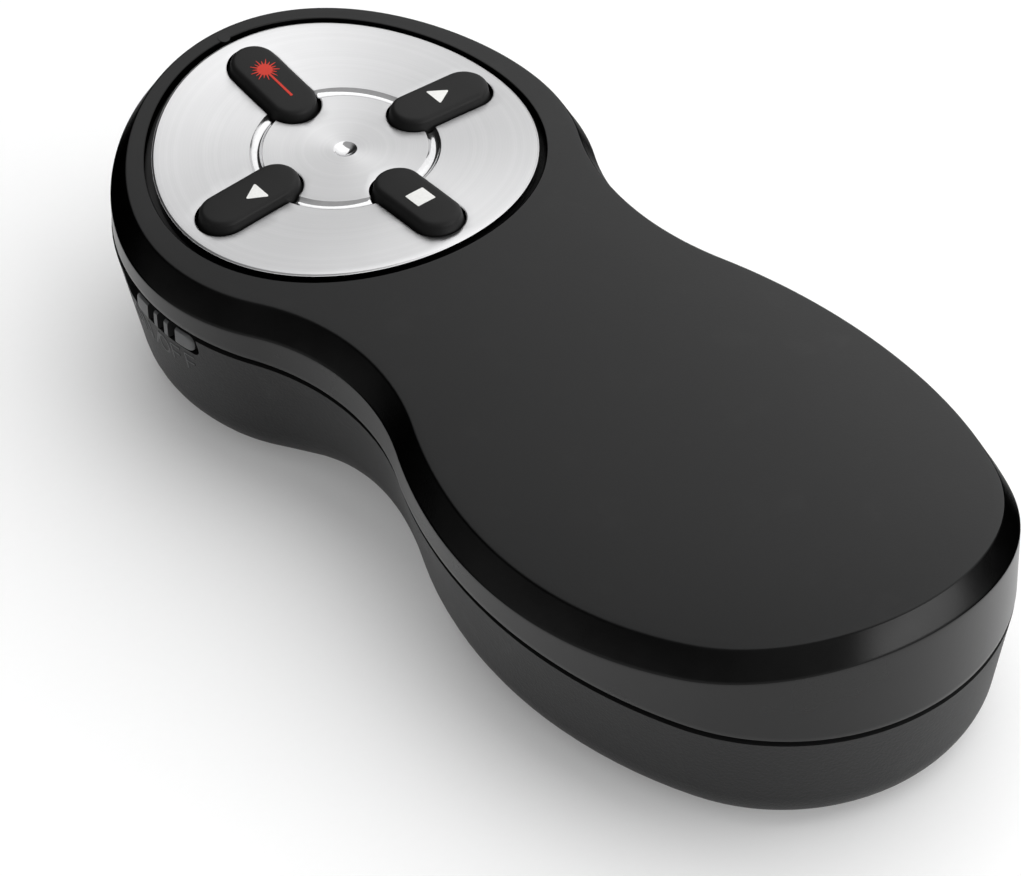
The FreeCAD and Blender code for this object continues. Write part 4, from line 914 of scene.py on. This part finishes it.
def make_disc(metal, polished, dark):
    shape = Shape()
    radii = [DISC_RADIUS - DISC_EDGE * step / 3 for step in range(4)]
    radii.append(RING_OUTER + HOLLOW_EDGE)
    radii += [RING_OUTER - (RING_OUTER - RING_INNER) * step / 8 for step in range(9)]
    radii.append(RING_INNER - HOLLOW_EDGE)
    loops = [disc_circle(radius, DISC_POINTS) for radius in radii]
    loops.append(disc_circle(DIMPLE_RADIUS + HOLLOW_EDGE, DIMPLE_POINTS))
    for share in (1.0, 0.85, 0.7, 0.55, 0.4, 0.2):
        loops.append(disc_circle(DIMPLE_RADIUS * share, DIMPLE_POINTS))
    # three loops round each key's hole, over its softened edge
    edges = [key_holes(KEY_GAP + KEY_HOLE_EDGE * share) for share in (0.0, 0.5, 1.0)]
    holes = [loop for hole in zip(*edges) for loop in hole]

    def on_disc(x, y):
        return disc_reach(x, y) < DISC_RADIUS and slot_distance(x, y, KEY_GAP) > 0

    rows = shape.sheet(loops + holes, DISC_MESH, on_disc, disc_height, rings=disc_mesh_points())
    for number, face in enumerate(shape.faces):
        x = sum(shape.points[i][0] for i in face) / len(face)
        y = sum(shape.points[i][1] for i in face) / len(face)
        if RING_INNER < disc_reach(x, y) < RING_OUTER or disc_reach(x, y) < DIMPLE_RADIUS:
            shape.slots[number] = 1
    shape.strip(shape.row(disc_underside(loops[0])), rows[0], 1)
    # the walls of the key holes take the black band's material, not the metal: painted shade in the gaps
    # round the keys
    for hole, row in zip(edges[0], rows[len(loops)::3]):
        shape.strip(row, shape.row(disc_underside(hole)), 2)
    return shape.build("spun_disc", [metal, polished, dark], "housing", ("control_disc",))


# power switch: the knob's own axes are u towards the tail, v up and w outwards from the head's axis
def knob_half(u):
    """Half the knob's height at a station, less at the rounded corners."""
    past = abs(u) - (KNOB_LENGTH / 2 - KNOB_ROUND)
    if past <= 0:
        return KNOB_TALL / 2
    return KNOB_TALL / 2 - KNOB_ROUND + math.sqrt(max(0.0, KNOB_ROUND**2 - past**2))


def knob_radius(u):
    """Distance of the knob's face from the head's axis, with the grooves cut in."""
    radius = HEAD_RADIUS - KNOB_SINK
    for place in KNOB_GROOVES:
        offset = (u - place * KNOB_PITCH) / (KNOB_GROOVE / 2)
        if abs(offset) < 1:
            radius -= KNOB_GROOVE_DEPTH * math.cos(offset * math.pi / 2) ** 0.5
    return radius


def knob_face(u, v):
    """Height of the knob's face out from the head's axis, with rounded edges."""
    edge = min(KNOB_LENGTH / 2 - abs(u), knob_half(u) - abs(v))
    drop = KNOB_EDGE * (1 - min(1.0, edge / KNOB_EDGE)) ** 2
    return math.sqrt((knob_radius(u) - drop) ** 2 - u**2)


def knob_stations():
    """Stations along the knob, close together in its grooves and at its ends."""
    stations = []
    for place in KNOB_GROOVES:
        for step in range(-KNOB_GROOVE_STEPS, KNOB_GROOVE_STEPS + 1):
            stations.append(place * KNOB_PITCH + KNOB_GROOVE / 2 * step / KNOB_GROOVE_STEPS)
    inner = KNOB_PITCH + KNOB_GROOVE / 2
    for share in KNOB_COLUMNS:
        place = inner + (KNOB_LENGTH / 2 - inner) * share
        stations += [place, -place]
    return sorted(stations)


def in_groove(u):
    return any(abs(u - place * KNOB_PITCH) < KNOB_GROOVE / 2 for place in KNOB_GROOVES)


def make_knob(skin, dark):
    shape = Shape()
    stations = knob_stations()
    columns = []
    for u in stations:
        half = knob_half(u)
        columns.append(shape.row([(u, half * share, knob_face(u, half * share)) for share in KNOB_ROWS]))
    for place in range(len(columns) - 1):
        # groove faces take the second material, much darker than the knob's face: painted shade in the
        # grooves
        slot = 1 if in_groove((stations[place] + stations[place + 1]) / 2) else 0
        shape.strip(columns[place + 1], columns[place], slot, False)
    rim = [column[0] for column in columns] + columns[-1][1:-1]
    rim += [column[-1] for column in reversed(columns)] + columns[0][-2:0:-1]
    foot = rim
    for grow, depth in KNOB_PLATE:
        row = []
        for i in rim:
            u, v, _ = shape.points[i]
            wide = u * (1 + KNOB_PLATE_REACH * grow / (KNOB_LENGTH / 2))
            tall = v * (1 + KNOB_PLATE_LIP * grow / (KNOB_TALL / 2))
            row.append((wide, tall, KNOB_PLATE_FACE - depth))
        row = shape.row(row)
        shape.strip(row, foot, 1)
        foot = row
    shape.add(list(reversed(foot)), 1)
    level = SEAM_HEIGHT + KNOB_STATION * math.tan(SEAM_TILT) - KNOB_DROP - KNOB_TALL / 2
    place = Matrix(((0, 0, -1, 0), (-1, 0, 0, KNOB_STATION), (0, 1, 0, level), (0, 0, 0, 1)))
    node = "switch_knob"
    return shape.build("ridged_knob", [skin, dark], "power_switch", (node,), 40.0, place)


def shell_spotter():
    """A function that finds points over the lower shell's skin."""
    shell = nodes["bottom_shell"]
    tree = BVHTree.FromObject(shell, bpy.context.evaluated_depsgraph_get())
    to_shell = shell.matrix_world.inverted()
    foot_level = SEAM_HEIGHT + HEAD_CENTRE * math.tan(SEAM_TILT) - LETTER_DROP

    def spot_on_shell(along, rise, lift):
        """A point lifted off the skin, at a length round the head and a height over the letters' foot."""
        angle = LETTER_START + along / HEAD_RADIUS
        out = Vector((math.cos(angle), math.sin(angle), 0.0))
        far = Vector((0.0, HEAD_CENTRE, foot_level + rise)) + out * HEAD_RADIUS * 2
        inwards = (to_shell.to_3x3() @ -out).normalized()
        spot, normal, _, _ = tree.ray_cast(to_shell @ (far * MM), inwards)
        spot = shell.matrix_world @ spot / MM
        normal = (shell.matrix_world.to_3x3() @ normal).normalized()
        if normal.dot(out) < 0:
            normal = -normal
        return spot + normal * lift

    return spot_on_shell


def divided(line, step):
    """Points along a line, about a step apart."""
    points = []
    for start, end in zip(line, line[1:]):
        count = max(1, round((end - start).length / step))
        points += [start + (end - start) * i / count for i in range(count)]
    return points + [line[-1]]


def make_letters(text, skin):
    """Raised lettering on the lower shell, under the switch."""
    spot_on_shell = shell_spotter()
    shape = Shape()
    pen = 0.0
    for letter in text:
        for stroke in LETTERS[letter]:
            line = [Vector((pen + x * LETTER_WIDTH, y * LETTER_HEIGHT)) for x, y in stroke]
            points = divided(line, LETTER_STEP)
            rows = []
            for i, point in enumerate(points):
                ahead = points[min(i + 1, len(points) - 1)] - points[max(i - 1, 0)]
                side = Vector((-ahead.y, ahead.x)).normalized() * LETTER_STROKE / 2
                row = []
                for share, lift in LETTER_SECTION:
                    place = point + side * share
                    row.append(tuple(spot_on_shell(place.x, place.y, lift)))
                rows.append(shape.row(row))
            for low, high in zip(rows, rows[1:]):
                shape.strip(high, low, 0, False)
            shape.add(rows[0])
            shape.add(list(reversed(rows[-1])))
        pen += LETTER_WIDTH * (SLASH_PITCH if letter == "/" else LETTER_PITCH)
    return shape.build("raised_letters", [skin], "housing")


# keys
def key_place(turns):
    """Matrix, in millimetres, from a key's own axes to the body: x outwards, z square to the disc."""
    angle = math.pi / 2 * turns
    out = Vector((math.cos(angle), math.sin(angle), 0.0))
    x = out.x * KEY_ORBIT
    y = DISC_CENTRE + out.y * KEY_ORBIT
    ahead = out * KEY_LEAN_STEP
    rise = crown(x + ahead.x, y + ahead.y) - crown(x - ahead.x, y - ahead.y)
    lean = math.atan2(rise, 2 * KEY_LEAN_STEP)
    spin = Matrix.Rotation(angle, 4, "Z") @ Matrix.Rotation(-lean, 4, "Y")
    return Matrix.Translation((x, y, crown(x, y) + KEY_RISE)) @ spin


def key_top(x, y):
    """Height of a key's top face in its own axes: very slightly crowned."""
    past = max(0.0, abs(x) - KEY_REACH)
    edge = KEY_WIDTH / 2 - math.hypot(past, y)
    return -KEY_CROWN * (1 - min(1.0, edge / (KEY_WIDTH / 2))) ** 2


def make_key(name, turns, skin):
    shape = Shape()
    place = key_place(turns)
    shoulder = rounded_profile(KEY_SHOULDER, (KEY_SHOULDER_RADIUS,), KEY_SHOULDER_STEPS)[1:-1]
    profile = [*KEY_FLARE, *shoulder]
    profile += [(inset, 0.0) for inset in KEY_TOP_INSETS]
    rows = []
    for inset, level in profile:
        points = []
        for x, y in slot_loop(KEY_REACH, KEY_WIDTH / 2 - inset):
            lift = key_top(x, y) if level > KEY_CROWN_START else -KEY_CROWN
            points.append(tuple(place @ Vector((x, y, level + lift))))
        rows.append(shape.row(points))
    for low, high in zip(rows, rows[1:]):
        shape.strip(low, high)
    shape.add(rows[-1])
    shape.add(list(reversed(rows[0])))
    body = "key_" + name
    return shape.build("rubber_key_" + name, [skin], body, ("button_" + name,), 50.0)


def print_top(x, y):
    return key_top(x, y) + MARK_LIFT


def make_mark(name, loops, turns, paint):
    """Flat printed shapes on a key, each a loop in the key's own axes."""
    shape = Shape()
    for loop in loops:

        def in_loop(x, y):
            return crossing_rule(x, y, loop)

        top = shape.sheet([loop], MARK_MESH, in_loop, print_top)[0]
        foot = shape.row([(x, y, key_top(x, y) - MARK_DEPTH) for x, y in loop])
        shape.strip(foot, top)
    return shape.build("mark_" + name, [paint], "key_" + name, (), 30.0, key_place(turns))


def soft_polygon(corners, radius, steps=4):
    """A polygon with rounded corners."""
    count = len(corners)
    points = []
    for i in range(count):
        ring = [corners[i - 1], corners[i], corners[(i + 1) % count]]
        points += rounded_profile(ring, (radius,), steps)[1:-1]
    return points


def burst_loop():
    """A ball with thin rays, every other one shorter."""
    points = []
    for i in range(BURST_RAYS):
        reach = BURST_REACH[i % 2]
        foot = ((-BURST_FOOT, BURST_CORE), (BURST_FOOT, BURST_CORE))
        for turn, radius in (foot[0], (-BURST_TIP, reach), (BURST_TIP, reach), foot[1]):
            angle = 2 * math.pi * (i + turn) / BURST_RAYS
            points.append((BURST_CENTRE + radius * math.cos(angle), radius * math.sin(angle)))
    return points


def make_marks(white, red):
    triangle = soft_polygon(TRIANGLE, TRIANGLE_RADIUS)
    for name, turns, shift_x, shift_y in TRIANGLE_PLACES:
        make_mark(name, [[(x + shift_x, y + shift_y) for x, y in triangle]], turns, white)
    make_mark("stop", [soft_polygon(SQUARE, SQUARE_RADIUS)], 3, white)
    make_mark("laser", [burst_loop(), RAY], 1, red)


# floor, lamps, camera
def make_floor(paper):
    shape = Shape()
    corners = ((-1, -1), (1, -1), (1, 1), (-1, 1))
    shape.add(shape.row([(x * FLOOR_REACH, y * FLOOR_REACH, 0.0) for x, y in corners]))
    shape.piece("floor", [paper])


def paper_finish():
    """White paper, with a little whiteness of its own; clear from below, to show the underside."""
    finish = Finish("white_paper", specular_ior_level=0.0, roughness=1.0)
    fibre = finish.noise(0.8, 3.0)
    finish.set(base_color=finish.mix(fibre, (0.97, 0.97, 0.97), (0.99, 0.99, 0.99)))
    camera = finish.node("ShaderNodeLightPath", output="Is Camera Ray")
    glossy = finish.node("ShaderNodeLightPath", output="Is Glossy Ray")
    passing = finish.node("ShaderNodeLightPath", output="Is Transmission Ray")
    seen = (camera + glossy + passing).clamp()
    white = finish.node("ShaderNodeEmission", None, {"Color": (1.0, 1.0, 1.0), "Strength": 1.0})
    above = finish.node("ShaderNodeMixShader", None, {0: seen * PAPER_LIFT, 1: finish.shader, 2: white})
    from_below = finish.node("ShaderNodeNewGeometry", output="Backfacing")
    clear = finish.node("ShaderNodeBsdfTransparent")
    sheet = finish.node("ShaderNodeMixShader", None, {0: from_below, 1: above, 2: clear})
    finish.feed(finish.surface.made.inputs["Surface"], sheet)
    return finish.material


def direction(azimuth, elevation):
    """Unit vector at an azimuth, clockwise from the rear seen from above, and an elevation, in degrees."""
    a = math.radians(azimuth)
    e = math.radians(elevation)
    return Vector((math.sin(a) * math.cos(e), -math.cos(a) * math.cos(e), math.sin(e)))


def make_lamp(name, azimuth, elevation, distance, width, height, radiance):
    """A softbox that faces the object; sizes in metres, radiance is the brightness of its surface."""
    data = bpy.data.lights.new(name, "AREA")
    data.shape = "RECTANGLE"
    data.size = width
    data.size_y = height
    data.energy = radiance * width * height * LAMP_SPREAD
    lamp = bpy.data.objects.new(name, data)
    bpy.context.scene.collection.objects.link(lamp)
    facing = direction(azimuth, elevation)
    spin = facing.to_track_quat("Z", "Y").to_matrix().to_4x4()
    lamp.matrix_world = Matrix.Translation(facing * distance) @ spin
    lamp.visible_camera = False


def make_sky(azimuth, elevation):
    """A dim sky, brightest round one direction and dark at the horizon."""
    world = bpy.data.worlds.new("studio")
    graph = Graph(world)
    way = graph.node("ShaderNodeTexCoord", output="Generated")
    inputs = {0: way, 1: direction(azimuth, elevation)}
    lean = graph.node("ShaderNodeVectorMath", {"operation": "DOT_PRODUCT"}, inputs, "Value")
    inputs = {"Value": lean, "From Min": 0.1, "From Max": 0.8, "To Min": SKY_LOW, "To Max": SKY_HIGH}
    glow = graph.node("ShaderNodeMapRange", {"interpolation_type": "SMOOTHSTEP"}, inputs)
    light = graph.node("ShaderNodeBackground", None, {"Color": glow})
    graph.node("ShaderNodeOutputWorld", None, {"Surface": light})
    bpy.context.scene.world = world


def make_camera():
    data = bpy.data.cameras.new("camera")
    data.sensor_width = CAMERA_SENSOR
    data.lens = CAMERA_LENS
    camera = bpy.data.objects.new("camera", data)
    bpy.context.scene.collection.objects.link(camera)
    back = direction(CAMERA_AZIMUTH, CAMERA_ELEVATION)
    a = math.radians(CAMERA_AZIMUTH)
    level_right = Vector((math.cos(a), math.sin(a), 0.0))
    level_up = back.cross(level_right)
    roll = math.radians(CAMERA_ROLL)
    right = level_right * math.cos(roll) + level_up * math.sin(roll)
    up = back.cross(right)
    spin = Matrix((right, up, back)).transposed().to_4x4()
    camera.matrix_world = Matrix.Translation(Vector(CAMERA_TARGET) + back * CAMERA_DISTANCE) @ spin
    bpy.context.scene.camera = camera


def dress(node, material):
    mesh = nodes[node].data
    mesh.materials.clear()
    mesh.materials.append(material)


make_camera()
make_floor(paper_finish())
make_sky(azimuth=-15.0, elevation=64.0)
make_lamp("overhead", azimuth=100.0, elevation=50.0, distance=1.3, width=2.6, height=2.6, radiance=1.2)
make_lamp("rear_strip", azimuth=20.0, elevation=12.0, distance=1.2, width=1.3, height=0.4, radiance=4.6)

shell_top = moulded("charcoal_top", level=0.007, roughness=0.42, grain=0.28, depth=0.006, gloss=0.2)
shell_wall = satin("satin_wall", level=0.002, roughness=0.28, gloss=0.39)
shell_inside = moulded("shell_inside", level=0.02, roughness=0.6, grain=0.5, depth=0.01)
shell_band = black_band("black_band", level=0.016, roughness=0.3)
make_upper_shell([shell_top, shell_wall, shell_inside, shell_band])

spun = spun_metal("spun_steel", (0.0, DISC_CENTRE * MM, 0.0))
# the third material goes on the disc's key-hole walls as painted shade
make_disc(spun, polished_metal("polished_steel"), shell_band)

key_skin = rubber("key_rubber", level=0.008)
for name, turns in KEYS:
    make_key(name, turns, key_skin)
make_marks(ink("white_ink", (0.85, 0.85, 0.83)), ink("red_ink", (0.55, 0.04, 0.025)))

knob_skin = moulded("knob_grey", level=0.1, roughness=0.42, grain=0.3, depth=0.008)
# the grooves' material is much darker than the knob's face: painted shade
knob_painted_shade = moulded("knob_recess_painted_shade", level=0.004, roughness=0.6, grain=0.3, depth=0.008, wear=0.02)
make_knob(knob_skin, knob_painted_shade)
# the letters are a lighter grey than the shell round them: a painted highlight for the light caught by their
# raised strokes
make_letters("ON/OFF", moulded("raised_letters", level=0.05, roughness=0.4, grain=0.35, depth=0.01))

# pieces carried over from the CAD
lower_skin = moulded("textured_lower", level=0.012, roughness=0.5, grain=0.3, depth=0.05, gloss=0.28)
for node in ("bottom_shell", "battery_door"):
    dress(node, lower_skin)
dress("light_guide", satin("smoked_guide", level=0.004, roughness=0.25, gloss=0.2))
dress("laser_window", satin("tinted_pane", level=0.015, roughness=0.08))
dress("laser_lens", satin("lens_clear", level=0.5, roughness=0.05))
for node, finish, level, roughness, grain, depth in (
    ("receiver_housing", "receiver_black", 0.02, 0.45, 0.3, 0.01),
    ("receiver_tongue", "tongue_white", 0.75, 0.5, 0.4, 0.005),
    ("main_board", "board_mask", 0.1, 0.35, 0.4, 0.01),
    ("controller_chip", "black_controller_chip", 0.03, 0.5, 0.3, 0.01),
    ("radio_chip", "black_radio_chip", 0.03, 0.5, 0.3, 0.01),
    ("key_switches", "black_key_switches", 0.03, 0.5, 0.3, 0.01),
    ("switch_lever", "black_switch_lever", 0.03, 0.5, 0.3, 0.01),
    ("status_led", "led_body", 0.7, 0.3, 0.3, 0.003),
    ("plunger_next", "ivory_plunger_next", 0.6, 0.5, 0.4, 0.005),
    ("plunger_laser", "ivory_plunger_laser", 0.6, 0.5, 0.4, 0.005),
    ("plunger_previous", "ivory_plunger_previous", 0.6, 0.5, 0.4, 0.005),
    ("plunger_stop", "ivory_plunger_stop", 0.6, 0.5, 0.4, 0.005),
):
    dress(node, moulded(finish, level, roughness, grain, depth))
for node, finish, colour, roughness in (
    ("housing_screws", "blackened_steel", (0.22, 0.22, 0.23), 0.4),
    ("receiver_plug", "plated_plug", (0.72, 0.72, 0.73), 0.22),
    ("crystal", "crystal_can", (0.75, 0.75, 0.76), 0.25),
    ("slide_switch", "switch_steel", (0.62, 0.62, 0.63), 0.3),
    ("laser_barrel", "turned_brass", (0.72, 0.55, 0.26), 0.25),
    ("rear_contact", "nickel_rear_contact", (0.75, 0.74, 0.7), 0.25),
    ("front_contacts", "nickel_front_contacts", (0.75, 0.74, 0.7), 0.25),
    ("contact_springs", "nickel_contact_springs", (0.75, 0.74, 0.7), 0.25),
):
    dress(node, plain_metal(finish, colour, roughness))
for node in ("cell_left", "cell_right"):
    size = nodes[node].dimensions
    dress(node, cell_finish("sleeve_" + node, max(range(3), key=lambda axis: size[axis])))

bpy.context.scene.view_settings.view_transform = "Standard"
